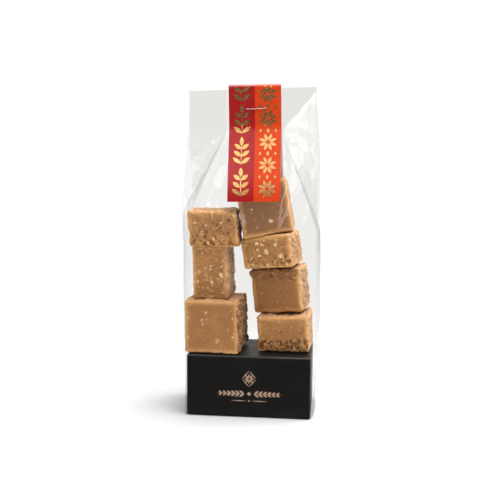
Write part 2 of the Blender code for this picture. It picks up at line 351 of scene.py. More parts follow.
def box_lattice(divisions):
    """Points and quads of a cube's surface, as a grid on each of its six faces.

    On a face one coordinate is fixed at -1 or 1 and the other two run over the grid; points on
    shared edges are merged.
    """
    steps = np.arange(divisions + 1)
    first, second = (a.ravel() for a in np.meshgrid(steps, steps, indexing="ij"))
    blocks, quads = [], []
    for number, (axis, sign) in enumerate((a, s) for a in range(3) for s in (-1, 1)):
        block = np.zeros((len(first), 3), np.int64)
        block[:, axis] = divisions if sign > 0 else 0
        block[:, (axis + 1) % 3] = first
        block[:, (axis + 2) % 3] = second
        blocks.append(block)
        side = grid_quads(divisions + 1, divisions + 1, number * len(first))
        quads.append(side[:, ::-1] if sign > 0 else side)
    points = np.concatenate(blocks)
    key = (points[:, 0] * (divisions + 1) + points[:, 1]) * (divisions + 1) + points[:, 2]
    _, keep, inverse = np.unique(key, return_index=True, return_inverse=True)
    return points[keep] / (divisions / 2.0) - 1.0, inverse.ravel()[np.concatenate(quads)]


# ---------------------------------------------------------------- fudge

def pits(points, size, share, radius, seed):
    """Small round holes: 1 in the middle of a hole and 0 outside, in a share of the cells."""
    way, owner = cell_noise(points, size, seed)
    wide = radius / size * (0.6 + 0.8 * owner[:, 1])
    inside = np.linalg.norm(way, axis=1) / wide
    return np.where(owner[:, 0] < share, fall(inside, 0.45, 1.0), 0.0)


def lumps(points, size, seed):
    """Rounded crumbs: for each scattered point a dome, 1 less the squared distance to it."""
    way, owner = cell_noise(points, size, seed)
    return (1.0 - np.minimum(np.einsum("ij,ij->i", way, way), 1.0)) * (0.5 + owner[:, 0])


def bent(points, amount, size, seed):
    """Points moved by noise, so that what is read at them gets an irregular outline."""
    shift = [gradient_noise(points, size, seed + k) for k in range(3)]
    return points + amount * np.stack(shift, axis=1)


def flakes(points, size, share, radius, seed):
    """Cut nut chips: the face cuts tetrahedra that are scattered and turned at random.

    The way to a chip's middle is turned by two random angles. Its largest reach along the four
    corners of a tetrahedron, over the chip's radius, is below 1 inside the chip. The second
    result is a thin ring round each chip, which cut_relief sinks a little and darkens with painted
    shade.
    """
    way, owner = cell_noise(bent(points, 0.25, 0.9, seed + 1), size, seed)
    first, second = 2 * math.pi * owner[:, 1], 2 * math.pi * owner[:, 2]
    x = np.cos(first) * way[:, 0] - np.sin(first) * way[:, 1]
    flat = np.sin(first) * way[:, 0] + np.cos(first) * way[:, 1]
    y = np.cos(second) * flat - np.sin(second) * way[:, 2]
    z = np.sin(second) * flat + np.cos(second) * way[:, 2]
    reach = np.max([x + y + z, x - y - z, y - x - z, z - x - y], axis=0) / math.sqrt(3)
    wide = 0.62 * radius / size * (0.45 + 0.9 * ((owner[:, 1] + owner[:, 2]) % 1.0))
    inside = np.where(owner[:, 0] < share, reach / wide, 9.0)
    return fall(inside, 0.85, 1.1), 0.6 * ramp(inside, 1.0, 1.1) * fall(inside, 1.2, 1.7)


def slits(points, along, width, length, seed):
    """Fine torn streaks in one direction: grooves and the crests between them, each 0 to 1.

    They come from noise stretched along that direction, and fade in and out by patches.
    """
    stretch = np.full(3, width)
    stretch[along] = length
    ridge = gradient_noise(bent(points, 0.9 * width, 2.2 * width, seed + 9), stretch, seed + 3)
    patch = ramp(gradient_noise(points, 3.5, seed + 12), -0.30, 0.20)
    return ramp(-ridge, 0.10, 0.42) * patch, ramp(ridge, 0.08, 0.40) * patch


# Each relief gives, for points on a face: the height in millimetres, the painted shade that
# darkens hollows, the nut, and the crest that pales ridges, partly as wear and partly as painted
# highlight. The last three run from 0 to about 1.

def skin_relief(points, seed):
    """Moulded face: long soft waves, faint grain, pinholes darkened by painted shade and a few
    small nut specks.
    """
    holes = pits(points, 3.6, 0.16, 0.40, seed + 1)
    height = 0.22 * gradient_noise(points, 11.0, seed) + 0.06 * layered_noise(points, 2.4, seed + 2)
    nut, _ = flakes(points, 3.0, 0.18, 0.7, seed + 8)
    return height - 0.5 * holes, 0.8 * holes, 0.5 * nut, 0.0 * nut


def pored_relief(points, seed):
    """Moulded face that is rougher and full of pinholes darkened by painted shade, with fine grain
    whose high places are paled as painted highlight.
    """
    height, cavity, nut, _ = skin_relief(points, seed)
    pores = pits(points, 1.9, 0.30, 0.42, seed + 31)
    grain = layered_noise(points, 1.5, seed + 32)
    height += 0.16 * grain - 0.5 * pores
    return height, np.maximum(cavity, pores), nut, 0.5 * ramp(grain, 0.25, 0.7)


def cut_relief(points, seed, along=2, streak=0.22, share=0.30, chip=0.9):
    """Knife-cut face: waves, fine streaks along the cut, pinholes, chipped places, nut chips.
    Pinholes, chipped places, grooves and the rings round chips are darkened by painted shade, and
    the crests of the streaks are paled as painted highlight.
    """
    groove, crest = slits(points, along, 0.75, 3.2, seed)
    holes = pits(points, 2.7, 0.20, 0.46, seed + 1)
    chipped = pits(bent(points, 0.8, 1.6, seed + 5), 5.2, 0.30, 1.6, seed + 6)
    nut, ring = flakes(points, 2.8 * chip, share, chip, seed + 8)
    height = 0.25 * gradient_noise(points, 9.0, seed) + streak * (0.6 * crest - 1.2 * groove)
    height += 0.12 * layered_noise(points, 1.8, seed + 2) + 0.14 * nut
    height -= 0.7 * holes + 0.38 * chipped + 0.25 * ring
    cavity = unit(0.9 * holes + 0.25 * chipped + 2.2 * streak * groove + ring)
    return height, cavity * (1.0 - nut), 0.9 * nut, 2.4 * streak * crest


def combed_relief(points, seed):
    """Cut face torn upright: dents, a few long slits in its lower part, faint streaks. The slits
    and the low places of the dents are darkened by painted shade, and the crests and high places
    are paled as painted highlight.
    """
    wide_groove, wide_crest = slits(points, 2, 1.25, 3.8, seed + 11)
    low = fall(points[:, 2] + 3.0 * gradient_noise(points, 6.0, seed + 14), -1.0, 6.0)
    tear = ramp(wide_groove, 0.45, 0.9) * (0.25 + 0.75 * low)
    dents = layered_noise(points, 3.6, seed + 12)
    height, cavity, nut, crest = cut_relief(points, seed, 2, 0.20, 0.17)
    height += 0.16 * wide_crest + 0.20 * dents - 0.75 * tear
    cavity += 0.95 * tear + 0.14 * ramp(-dents, 0.25, 0.7)
    crest += 0.35 * wide_crest + 0.4 * ramp(dents, 0.2, 0.6)
    return height, unit(cavity), 0.75 * nut, unit(crest)


def sliced_relief(points, seed):
    """Cut face whose fine streaks run level, with many small nut chips."""
    height, cavity, nut, crest = cut_relief(points, seed, 0, 0.22, 0.34, 0.72)
    bits, _ = flakes(points, 1.35, 0.30, 0.40, seed + 41)
    return height, cavity * (1.0 - bits), np.maximum(nut, 0.9 * bits), crest


def bristly_relief(points, seed):
    """Face torn into short upright bristles: sharp ridges paled as painted highlight, with painted
    shade in the slits between.
    """
    groove, crest = slits(points, 2, 0.95, 2.4, seed + 51)
    groove, crest = unit(1.4 * groove), unit(1.6 * crest)
    height, cavity, nut, base_crest = cut_relief(points, seed, 2, 0.10, 0.40, 0.9)
    height += 0.40 * crest - 0.85 * groove
    crest = unit(base_crest + 1.1 * crest)
    return height, unit(cavity + 0.95 * groove), nut * (1.0 - groove), crest


def chunky_relief(points, seed):
    """Broken face of blunt chunks, many of them nuts, with painted shade in the small gaps and
    painted highlight on small crumbs.
    """
    bend = bent(points, 0.8, 2.2, seed + 45)
    chunks, crumbs = lumps(bend, 2.9, seed + 46), lumps(bend, 1.3, seed + 47)
    gaps = fall(chunks, 0.25, 0.60)
    height, cavity, nut, crest = cut_relief(points, seed, 2, 0.08, 0.62, 1.35)
    height += 0.65 * (chunks - 0.8) + 0.32 * (crumbs - 0.75) - 0.45 * gaps
    crest += 0.5 * ramp(crumbs, 0.9, 1.3)
    return height, unit(0.6 * cavity + 0.8 * gaps), 0.8 * nut * (1.0 - gaps), unit(crest)


def crumbly_relief(points, seed):
    """Broken surface of crumbs: rounded lumps of three sizes, with painted shade in the gaps and
    hollows between and painted highlight on the crumbs.
    """
    bend = bent(points, 1.0, 2.6, seed + 21)
    sizes = (4.0, 2.2, 1.1)
    large, middle, small = (lumps(bend, size, seed + 1 + k) for k, size in enumerate(sizes))
    gaps, hollows = fall(large, 0.20, 0.50), fall(middle, 0.25, 0.60)
    nut, _ = flakes(points, 3.0, 0.30, 1.0, seed + 8)
    height = 0.95 * (large - 0.8) + 0.50 * (middle - 0.75) + 0.20 * (small - 0.75)
    height += 0.4 * gradient_noise(points, 7.0, seed) - 0.4 * gaps
    crest = ramp(middle, 0.80, 1.25) * (1.0 - gaps) + 0.5 * ramp(large, 1.0, 1.4)
    return height, unit(0.65 * gaps + 0.40 * hollows), 0.7 * nut * (1.0 - gaps), 0.6 * unit(crest)


def clumpy_relief(points, seed):
    """Band of soft rounded clumps, with painted shade in the pits and cracks where they part and
    painted highlight on the clumps.
    """
    bend = bent(points, 0.9, 3.0, seed + 81)
    clumps, small = lumps(bend, 3.4, seed + 82), lumps(bend, 1.5, seed + 83)
    pit = fall(clumps, 0.22, 0.50)
    crack = fall(np.abs(gradient_noise(bend, 3.0, seed + 84)), 0.02, 0.12)
    height = 0.9 * (clumps - 0.8) + 0.22 * (small - 0.75) - 0.7 * pit - 0.5 * crack
    crest = 0.8 * ramp(clumps, 0.75, 1.2) * (1.0 - crack)
    return height, unit(0.65 * pit + 0.5 * crack), 0.0 * pit, crest


def torn_relief(points, seed):
    """Torn face: lumps cut by deep upright fissures, where a stretched noise crosses zero. The
    fissures and the hollows between fine lumps are darkened by painted shade, and the fine lumps
    are paled as painted highlight.
    """
    bend = bent(points, 1.2, 3.0, seed + 31)
    fissure = fall(np.abs(gradient_noise(bend, (2.9, 2.9, 7.0), seed + 4)), 0.04, 0.24)
    fine = lumps(bent(points, 0.5, 1.4, seed + 33), 1.2, seed + 34)
    height, cavity, nut, crest = crumbly_relief(points, seed + 50)
    height = 0.75 * height + 0.8 * layered_noise(points, 6.0, seed + 6)
    height += 0.35 * (fine - 0.75) - 1.8 * fissure
    cavity = 0.6 * cavity + 1.3 * fissure + 0.6 * fall(fine, 0.25, 0.6)
    crest = unit(crest + 0.9 * ramp(fine, 0.8, 1.2)) * (1.0 - fissure)
    bits = np.maximum(0.7 * nut, 0.75 * ramp(fine, 1.12, 1.35)) * (1.0 - fissure)
    return height, unit(cavity, 1.3), bits, crest


def ragged_relief(points, seed):
    """Undercut lower edge: small crumbs and short pulled strands, with painted shade in the gaps
    between and painted highlight on the small crumbs.
    """
    bend = bent(points, 0.7, 1.8, seed + 60)
    gap = ramp(-gradient_noise(bend, (1.5, 1.5, 2.6), seed + 61), 0.08, 0.30)
    large, small = lumps(bend, 2.3, seed + 62), lumps(bend, 1.15, seed + 63)
    nut, _ = flakes(points, 2.2, 0.34, 0.8, seed + 68)
    height = 0.80 * (large - 0.8) + 0.40 * (small - 0.75) - 1.2 * gap
    height += 0.3 * gradient_noise(points, 5.0, seed + 64)
    cavity = unit(0.60 * gap + 0.28 * fall(small, 0.25, 0.55), 1.2)
    return height, cavity, 0.7 * nut * (1.0 - gap), ramp(small, 0.80, 1.2) * (1.0 - gap)


def shifted_relief(points, seed, relief, out, hollow=1.0, paler=0.0):
    """Another relief moved outwards, with a share of its painted shade and with its ridges paled
    further as painted highlight.
    """
    height, cavity, nut, crest = relief(points, seed)
    return height + out, hollow * cavity, nut, unit(crest + paler)


# For each style of face: its relief, how strongly fine streaks run up it and level across it,
# and 1 where the surface is broken, so that its edges don't get the smooth paler band of wear
# and painted highlight.
STYLES = {
    "skin": (skin_relief, 0.08, 0.06, 0.0),
    "pored": (pored_relief, 0.0, 0.0, 0.0),
    "cut": (cut_relief, 0.5, 0.0, 0.0),
    "combed": (combed_relief, 0.75, 0.0, 0.0),
    "sliced": (sliced_relief, 0.0, 0.95, 0.0),
    "nutty": (partial(cut_relief, streak=0.15, share=0.52, chip=1.1), 0.5, 0.0, 0.0),
    "bristly": (bristly_relief, 0.7, 0.0, 0.0),
    "chunky": (chunky_relief, 0.65, 0.0, 0.0),
    "crumbly": (crumbly_relief, 0.0, 0.0, 1.0),
    "overhang": (partial(shifted_relief, relief=crumbly_relief, out=1.2), 0.0, 0.0, 1.0),
    # settled: crumbs sunk in, with less painted shade and ridges paled further as painted highlight
    "settled": (partial(shifted_relief, relief=crumbly_relief, out=-0.8, hollow=0.6, paler=0.35),
                0.0, 0.0, 1.0),
    "clumpy": (clumpy_relief, 0.0, 0.0, 1.0),
    "torn": (torn_relief, 0.3, 0.0, 1.0),
    "ragged": (ragged_relief, 0.4, 0.0, 1.0),
    "undercut": (partial(shifted_relief, relief=ragged_relief, out=-1.4), 0.0, 0.0, 1.0),
}


def style_weights(piece, normals, share):
    """How much of each style every point gets.

    A point belongs to a face by its normal's part towards it to the fourth power, scaled so that
    the six faces add up to 1. A face with two styles changes at a share of the height.
    """
    parts = {face: unit(normals[:, axis] * sign) ** 4 for face, (axis, sign) in FACES.items()}
    total = sum(parts.values())
    weights = {}
    for face, part in parts.items():
        style = piece.faces.get(face, "cut")
        upper, lower, at = (style, style, 0.0) if isinstance(style, str) else style
        above = 1.0 if upper == lower else ramp(share, at - 0.07, at + 0.07)
        for name, amount in ((upper, above), (lower, 1.0 - above)):
            weights[name] = weights.get(name, 0.0) + part / total * amount
    return weights


def mark_amount(mark, points, half, seed):
    """Where a nut or a hole lies on the front: 1 inside a slanted polygon and 0 beyond.

    The polygon's five sides stand at random distances round the middle; a point is inside where
    its largest reach towards any side, over that side's distance, is below 1.
    """
    _, across, up, radius = mark
    bend = 0.22 * gradient_noise(points, 1.2, seed)
    a = (points[:, 0] - across * half[0]) / radius
    b = (points[:, 2] - up * half[2]) / radius
    rng = np.random.default_rng(seed)
    first, sides = rng.uniform(0, 2 * math.pi), 5
    angles = first + (np.arange(sides) + rng.uniform(-0.25, 0.25, sides)) * 2 * math.pi / sides
    reach = np.cos(angles) * a[:, None] + np.sin(angles) * b[:, None]
    inside = (reach / rng.uniform(0.55, 1.25, sides)).max(axis=1) + bend
    return np.where(-points[:, 1] > half[1] - 2.5, fall(inside, 0.8, 1.12), 0.0)


def corner_pull(corners, across, up):
    """How far points move in x and z when the corners of their outline are moved: each corner
    counts by the product of the point's shares of the width and the height."""
    upper_left, upper_right, lower_left, lower_right = np.array(corners)
    across, up = unit(across)[:, None], unit(up)[:, None]
    upper = upper_left + (upper_right - upper_left) * across
    lower = lower_left + (lower_right - lower_left) * across
    return lower + (upper - lower) * up


def fudge_surface(piece, lattice, radius):
    """Points of one piece and the values that its material reads.

    The cube's grid is stretched to the piece's size and its edges are rounded: each point goes
    to the nearest point of a smaller box, then out by the edge radius. The radius wanders by
    noise. Then each point moves along its normal by the relief of its face's style.
    """
    half = np.array(piece.size) / 2
    points = lattice * half
    wander = 0.55 * gradient_noise(points, 5.0, piece.seed)
    wander += 0.35 * gradient_noise(points, 2.0, piece.seed + 1)
    edge = radius * np.clip(1.0 + wander, 0.4, 2.0)
    core = half[None, :] - edge[:, None]
    inner = np.clip(points, -core, core)
    normals = points - inner
    normals /= np.linalg.norm(normals, axis=1)[:, None]
    rounded = inner + normals * edge[:, None]
    share = rounded[:, 2] / (2 * half[2]) + 0.5
    share += 0.14 * gradient_noise(points, 3.2, piece.seed + 90)
    height, cavity, nut, crest = relief = np.zeros((4, len(points)))
    coarse, upright, level, broken = looks = np.zeros((4, len(points)))
    for name, weight in style_weights(piece, normals, share).items():
        here = weight > 0.002
        surface, *streaks_and_broken = STYLES[name]
        relief[:, here] += np.array(surface(rounded[here], piece.seed)) * weight[here]
        looks += weight * np.array([name != "skin", *streaks_and_broken])[:, None]
    # Painted haze pales right faces, and top faces less, as light from above and the right and its
    # reflection in the film would.
    right_face, top_face = ramp(normals[:, 0], 0.5, 0.95), ramp(normals[:, 2], 0.5, 0.95)
    haze_share = piece.side if piece.side > 0.0 else SHADED_HAZE
    bloom = unit(right_face * haze_share + 0.45 * top_face, 1.2)
    # The right side of a piece whose side is below 0 is darkened by painted shade.
    cavity += right_face * max(-piece.side, 0.0)
    peel = np.zeros(len(points))
    for number, mark in enumerate(piece.marks):
        amount = mark_amount(mark, rounded, half, piece.seed + 100 + number)
        if mark[0] in ("nut", "faint"):
            np.maximum(nut, amount * (1.0 if mark[0] == "nut" else 0.4), out=nut)
            height += 0.22 * amount
            cavity *= 1.0 - amount
        elif mark[0] == "peel":
            np.maximum(peel, amount, out=peel)
            height -= 0.3 * amount
        else:
            # A hole is darkened by painted shade.
            np.maximum(cavity, 1.3 * amount, out=cavity)
            height -= 0.8 * amount
    # A paler band along the edges, partly wear and partly painted highlight, weaker on broken
    # faces.
    inset = np.sort(half - np.abs(points), axis=1)[:, 1]
    rim = fall(inset + 0.8 * wander, 0.3, radius + 2.4) ** 1.5 * (1.0 - 0.85 * broken)
    moved = rounded + normals * height[:, None]
    yaw, lean, nod = (Matrix.Rotation(math.radians(angle), 3, axis)
                      for angle, axis in zip(piece.turn, "ZYX"))
    turn = np.array(yaw @ lean @ nod)
    moved[:, 2] += half[2]
    across, up = moved[:, 0] / (2 * half[0]) + 0.5, moved[:, 2] / (2 * half[2])
    moved[:, (0, 2)] += corner_pull(piece.corners, across, up)
    moved = moved @ turn.T + piece.place + np.array([0.0, 0.0, BASE_HIGH.z])
    moved[:, 2] += max(BASE_HIGH.z + LEAST_GAP - moved[:, 2].min(), 0.0)
    values = (nut, peel, unit(cavity, 1.3), rim, unit(crest), coarse, upright, level, bloom,
              np.full(len(points), piece.tone))
    return moved, dict(zip(FUDGE_VALUES, values))


# ---------------------------------------------------------------- film

def pinch_height(x):
    """Height where the front meets the back: level, then rising to the right corner."""
    return PINCH_HEIGHT + PINCH_RISE * smooth_max(x - PINCH_RISE_START, 0.0, 2.0)


def half_depth(x, height):
    """Half the bag's depth: constant up the body, then down a straight roof to the flat strip."""
    pinch = pinch_height(x)
    slope = (BODY_HALF_DEPTH - TOP_HALF_THICKNESS) / (pinch - SHOULDER_HEIGHT)
    roof = TOP_HALF_THICKNESS + (pinch - height) * slope
    return smooth_max(smooth_min(BODY_HALF_DEPTH, roof, ROOF_ROUNDING), TOP_HALF_THICKNESS, 0.3)


def crease_relief(x, height, creases):
    """Folds in a panel: each is a tent across its line, its height times 1 less the distance
    over the reach, faded out towards the two ends of the line."""
    total = np.zeros_like(x)
    for start_x, start_z, end_x, end_z, stand, reach in creases:
        line_x, line_z = end_x - start_x, end_z - start_z
        length = math.hypot(line_x, line_z)
        along = ((x - start_x) * line_x + (height - start_z) * line_z) / length ** 2
        away = np.abs((x - start_x) * line_z - (height - start_z) * line_x) / length
        ends = ramp(along, -0.12, 0.12) * fall(along, 0.85, 1.15)
        total += stand * unit(1.0 - away / reach) * ends
    return total


def panel_relief(x, height, creases, seed):
    """How far a panel stands out from its plain form.

    Folds, soft waves and a slight inward bow of the body are added, then held back: at the
    label, at the side creases, at the pinched strip and round the card base.
    """
    points = np.stack([x.ravel(), np.zeros(x.size), height.ravel()], axis=1)
    waves = 0.5 * gradient_noise(points, (14, 1.0, 30), seed)
    waves += 0.22 * gradient_noise(points, (7, 1.0, 13), seed + 1)
    crinkle = np.abs(gradient_noise(points, (12, 1.0, 26), seed + 2))
    waves += 1.1 * (0.25 - crinkle) * ramp(points[:, 2], 95, 130)
    relief = waves.reshape(x.shape)
    body = ramp(height, BASE_HIGH.z, BASE_HIGH.z + 30) * fall(height, 100, 125)
    relief -= 0.4 * body * (1.0 - (x / CREASE_HALF_WIDTH) ** 2)
    aside = np.abs(x - LABEL_CENTRE_X)
    label_zone = ramp(height, 118, 128)
    relief *= 1.0 - label_zone * fall(aside, 16.5, 21)
    relief += crease_relief(x, height, creases) * (1.0 - label_zone * fall(aside, 16.2, 17.6))
    tuck = label_tuck(height) * ramp(height, 112, LABEL_BOTTOM) * fall(aside, 17, 24)
    hold = fall(np.abs(x), CREASE_HALF_WIDTH - 3, CREASE_HALF_WIDTH)
    hold *= 0.10 + 0.90 * ramp(half_depth(x, height), 1.0, 4.0)
    hold *= 0.15 + 0.85 * ramp(height, BASE_HIGH.z, BASE_HIGH.z + 14)
    limit = 0.9 * (BAG_HIGH.y + 0.6 - half_depth(x, height)) + 0.1
    return np.minimum(relief * hold, limit) - tuck


def film_heights():
    """Heights of the film's rows: close together at the bottom fold, even above."""
    bottom = np.array([0.0, 0.15, 0.4, 0.8, 1.4]) + FILM_UNDERSIDE
    body = np.linspace(3.0, SHOULDER_HEIGHT - 6, 66)
    roof = np.linspace(SHOULDER_HEIGHT - 4.5, PINCH_HEIGHT, 66)
    strip = np.linspace(PINCH_HEIGHT, TOP_HEIGHT, 24)[1:]
    return np.concatenate([bottom, body, roof, strip])


def side_bulge(side, height):
    """How far a side panel stands out past its creases: least at the floor, most half way up."""
    most = 3.3 if side > 0 else 3.6
    grow = 0.45 + 0.55 * ramp(height, 0.0, 70)
    return most * grow * fall(height, 88, SHOULDER_HEIGHT + 17)


def widening(x, height):
    """Share by which the film stands wider than its creases' plain distance: most half way up
    the roof, none on the body. The left side spreads more, and the right narrows at the top."""
    left = 0.055 - 0.030 * ramp(height, 150, 190)
    right = 0.048 - 0.066 * ramp(height, 155, 195)
    return np.where(x < 0, left, right) * ramp(height, 88, 128)


def panel_columns():
    """The x of a panel's columns, from the left crease to the right: the outer thirds have as
    many steps as the pleat's flaps, so that flap and panel match along the top edge."""
    outer = CREASE_HALF_WIDTH - PANEL_END
    inner = outer - PLEAT_DEPTH
    left = np.linspace(-outer, -inner, FLAP_STEPS + 1)
    middle = np.linspace(-inner, inner, PANEL_STEPS + 1)
    return np.concatenate([left, middle[1:-1], -left[::-1]])


def film_panel(front, x, height):
    """Front or back panel: at each x and height, half the depth and the panel's relief, as y."""
    creases, seed = (FRONT_CREASES, 5) if front else (BACK_CREASES, 9)
    y = half_depth(x, height) + panel_relief(x, height, creases, seed)
    return -y if front else y


def film_half_side(side, front, height):
    """Half of a side panel, from its front or back crease in to the middle, row by row.

    Up to the shoulder it is a plain side. Above, a fold line runs from the crease at the
    shoulder to the pleat's inner top: outside it the film lies as a flap under the roof, inside
    it a triangle leans in. On the left the highest piece inside holds the side out, so its
    shoulder stands higher. The crease is an arc that turns a quarter below the shoulder and a
    half above it.
    """
    z = height[:, None]
    full = half_depth(np.full_like(z, side * CREASE_HALF_WIDTH), z)
    shoulder = SHOULDER_HEIGHT if side > 0 else LEFT_SHOULDER_HEIGHT
    lean = np.minimum(smooth_max((z - shoulder) / (PLEAT_TOP - shoulder), 0.0, 0.05), 1.0)
    fullness = unit((full - TOP_HALF_THICKNESS) / (BODY_HALF_DEPTH - TOP_HALF_THICKNESS))
    radius = 0.27 + 0.45 * fullness
    turn = math.pi / 2 * (1.0 + ramp(lean, 0.0, 0.10))
    angle = turn * np.linspace(0.0, 1.0, ARC_STEPS + 1)[None, :]
    arc_x = CREASE_HALF_WIDTH - radius + radius * np.sin(angle)
    arc_y = full - radius + radius * np.cos(angle)
    bulge = side_bulge(side, z)
    fold_share = 0.93 + 0.07 * ramp(lean, 0.0, 0.12)
    fold_x = CREASE_HALF_WIDTH + bulge * (1.0 - fold_share ** 2) - PLEAT_DEPTH * lean
    gap = 0.55 + 0.7 * fullness
    fold_y = np.maximum((half_depth(side * fold_x, z) - gap) * fold_share, 0.25)
    share = np.linspace(0.0, 1.0, FLAP_STEPS - ARC_STEPS + 1)[None, 1:]
    flap_x = arc_x[:, -1:] + (fold_x - arc_x[:, -1:]) * share
    straight = arc_y[:, -1:] + (fold_y - arc_y[:, -1:]) * share
    under_roof = half_depth(side * flap_x, z) - (2 * radius + (gap - 2 * radius) * share)
    folded = ramp(lean, 0.0, 0.12)
    flap_y = straight + (under_roof - straight) * folded * (1.0 - share ** 6)
    across = np.linspace(0.0, 1.0, GUSSET_STEPS + 1)[None, 1:]
    gusset_y = fold_y * (1.0 - across)
    plain = bulge * (fold_share ** 2 - (gusset_y / full) ** 2)
    dip = -0.35 * ramp(lean, 0.9, 1.0) * (1.0 - (1.0 - across) ** 2)
    points = np.stack([gusset_y.ravel(), np.zeros(gusset_y.size),
                       np.broadcast_to(z, gusset_y.shape).ravel()], axis=1)
    waves = gradient_noise(points, (16, 1.0, 24), 71 + side).reshape(gusset_y.shape)
    waves = 0.8 * waves * (1.0 - (gusset_y / full) ** 2) * fall(lean, 0.5, 0.9)
    waves *= ramp(z, BASE_HIGH.z, BASE_HIGH.z + 20)
    gusset_x = fold_x + plain * (1.0 - lean) + dip + waves
    x = np.concatenate([arc_x[:, 1:], flap_x, gusset_x], axis=1)
    y = np.concatenate([arc_y[:, 1:], flap_y, gusset_y], axis=1)
    return side * x, -y if front else y


def film_surface():
    """Points and faces of the whole film, a closed tube of rows.

    Each row runs along the front, in and out of the right pleat, along the back and in and out
    of the left pleat. The bottom row is drawn in a little and closed under the base, and the top
    row is closed between the film's layers. The second result says how far each point belongs
    to a pleat: 0 on the panels, a half on the sides and 1 above the shoulder.
    """
    height = film_heights()
    columns = panel_columns()
    x, z = np.meshgrid(columns, height)
    parts = []
    for side, front in ((1, True), (-1, False)):
        panel = np.stack([x, film_panel(front, x, z)])
        near, far = (np.stack(film_half_side(side, half, height)) for half in (front, not front))
        parts += [panel if front else panel[..., ::-1], near, far[..., -2::-1]]
    row_x, row_y = np.concatenate(parts, axis=2)
    row_z = np.broadcast_to(height[:, None], row_x.shape).copy()
    row_z += unit((row_z - PINCH_HEIGHT) / (TOP_HEIGHT - PINCH_HEIGHT)) * row_x * math.tan(TOP_TILT)
    drawn_in = (1.0 - np.sqrt(unit(height - FILM_UNDERSIDE)))[:, None] * 0.9
    row_x *= 1.0 - drawn_in / CREASE_HALF_WIDTH
    row_y *= 1.0 - drawn_in / BODY_HALF_DEPTH
    outer = ramp(np.abs(row_x), 18, 30)
    row_x *= 1.0 + outer * widening(row_x, row_z)
    bow = 0.5 * np.sin((row_x / CREASE_HALF_WIDTH) * 2.4 + 0.6)
    away = ramp(np.abs(row_x - LABEL_CENTRE_X), 17, 30)
    row_y += bow * away * ramp(row_z, 160, 190)
    count = row_x.shape[1]
    points = np.stack([row_x, row_y, row_z], axis=-1).reshape(-1, 3)
    aside = np.repeat([0.0, 1.0, 1.0, 0.0, 1.0, 1.0], [part.shape[2] for part in parts])
    flap = aside * (0.5 + 0.5 * ramp(row_z, SHOULDER_HEIGHT, SHOULDER_HEIGHT + 12))
    faces = [grid_quads(len(height), count, closed=True), *film_bottom(len(columns))]
    return points, flap.ravel(), faces + film_mouth(len(columns), (len(height) - 1) * count)


def row_parts(panel):
    """Numbers of a row's points by part: each panel from its crease inwards and each half side
    from its crease to the middle, keyed by side and by front or back."""
    half = FLAP_STEPS + GUSSET_STEPS
    side = 2 * half - 1
    front, back = np.arange(panel), panel + side + np.arange(panel)[::-1]
    right, left = panel + np.arange(side), 2 * panel + side + np.arange(side)
    panels = {(1, True): front[::-1], (-1, True): front, (1, False): back[::-1], (-1, False): back}
    halves = {(1, True): right[:half], (1, False): right[::-1][:half],
              (-1, False): left[:half], (-1, True): left[::-1][:half]}
    return panels, halves


def film_bottom(panel):
    """The film's underside: each point of the front half joined straight back to its mirror."""
    panels, halves = row_parts(panel)
    near, far = (np.concatenate([halves[-1, front][::-1], panels[-1, front], halves[1, front]])
                 for front in (True, False))
    quads = np.stack([near[:-1], far[:-1], far[1:], near[1:]], axis=-1)
    ends = np.array([[near[0], far[1], near[1]], [near[-2], far[-2], near[-1]]])
    return [quads[1:-1], ends]


def film_mouth(panel, start):
    """The film's closed mouth: each panel joined to the flap just inside it, a fan round the
    pleat's inner fold, and the middle of the front joined to the middle of the back."""
    panels, halves = row_parts(panel)
    quads, triangles = [], []
    for side in (1, -1):
        for front in (True, False):
            outer, chain = panels[side, front][:FLAP_STEPS + 1], halves[side, front]
            strip = [outer[1:-1], chain[:FLAP_STEPS - 1], chain[1:FLAP_STEPS], outer[2:]]
            strip = np.stack(strip, axis=-1)
            fold = chain[FLAP_STEPS - 1:]
            fan = np.stack([np.full(len(fold) - 1, outer[-1]), fold[:-1], fold[1:]], axis=-1)
            fan = np.concatenate([fan, [[outer[0], chain[0], outer[1]]]])
            flip = (side > 0) != front
            quads.append(strip[:, ::-1] if flip else strip)
            triangles.append(fan[:, ::-1] if flip else fan)
        front_end, back_end = (panels[side, front][FLAP_STEPS] for front in (True, False))
        ends = np.array([[front_end, halves[side, True][-1], back_end]])
        triangles.append(ends if side > 0 else ends[:, ::-1])
    near, far = (panels[-1, front][FLAP_STEPS:panel - FLAP_STEPS] for front in (True, False))
    quads.append(np.stack([near[:-1], near[1:], far[1:], far[:-1]], axis=-1))
    return [np.concatenate(quads) + start, np.concatenate(triangles) + start]


# ---------------------------------------------------------------- label and ornament

def label_tuck(height):
    """How far the label's ends curve in towards the pack: by the square of the way below the
    height where the curve starts."""
    return LABEL_TUCK * unit((LABEL_TUCK_START - height) / (LABEL_TUCK_START - LABEL_BOTTOM)) ** 2


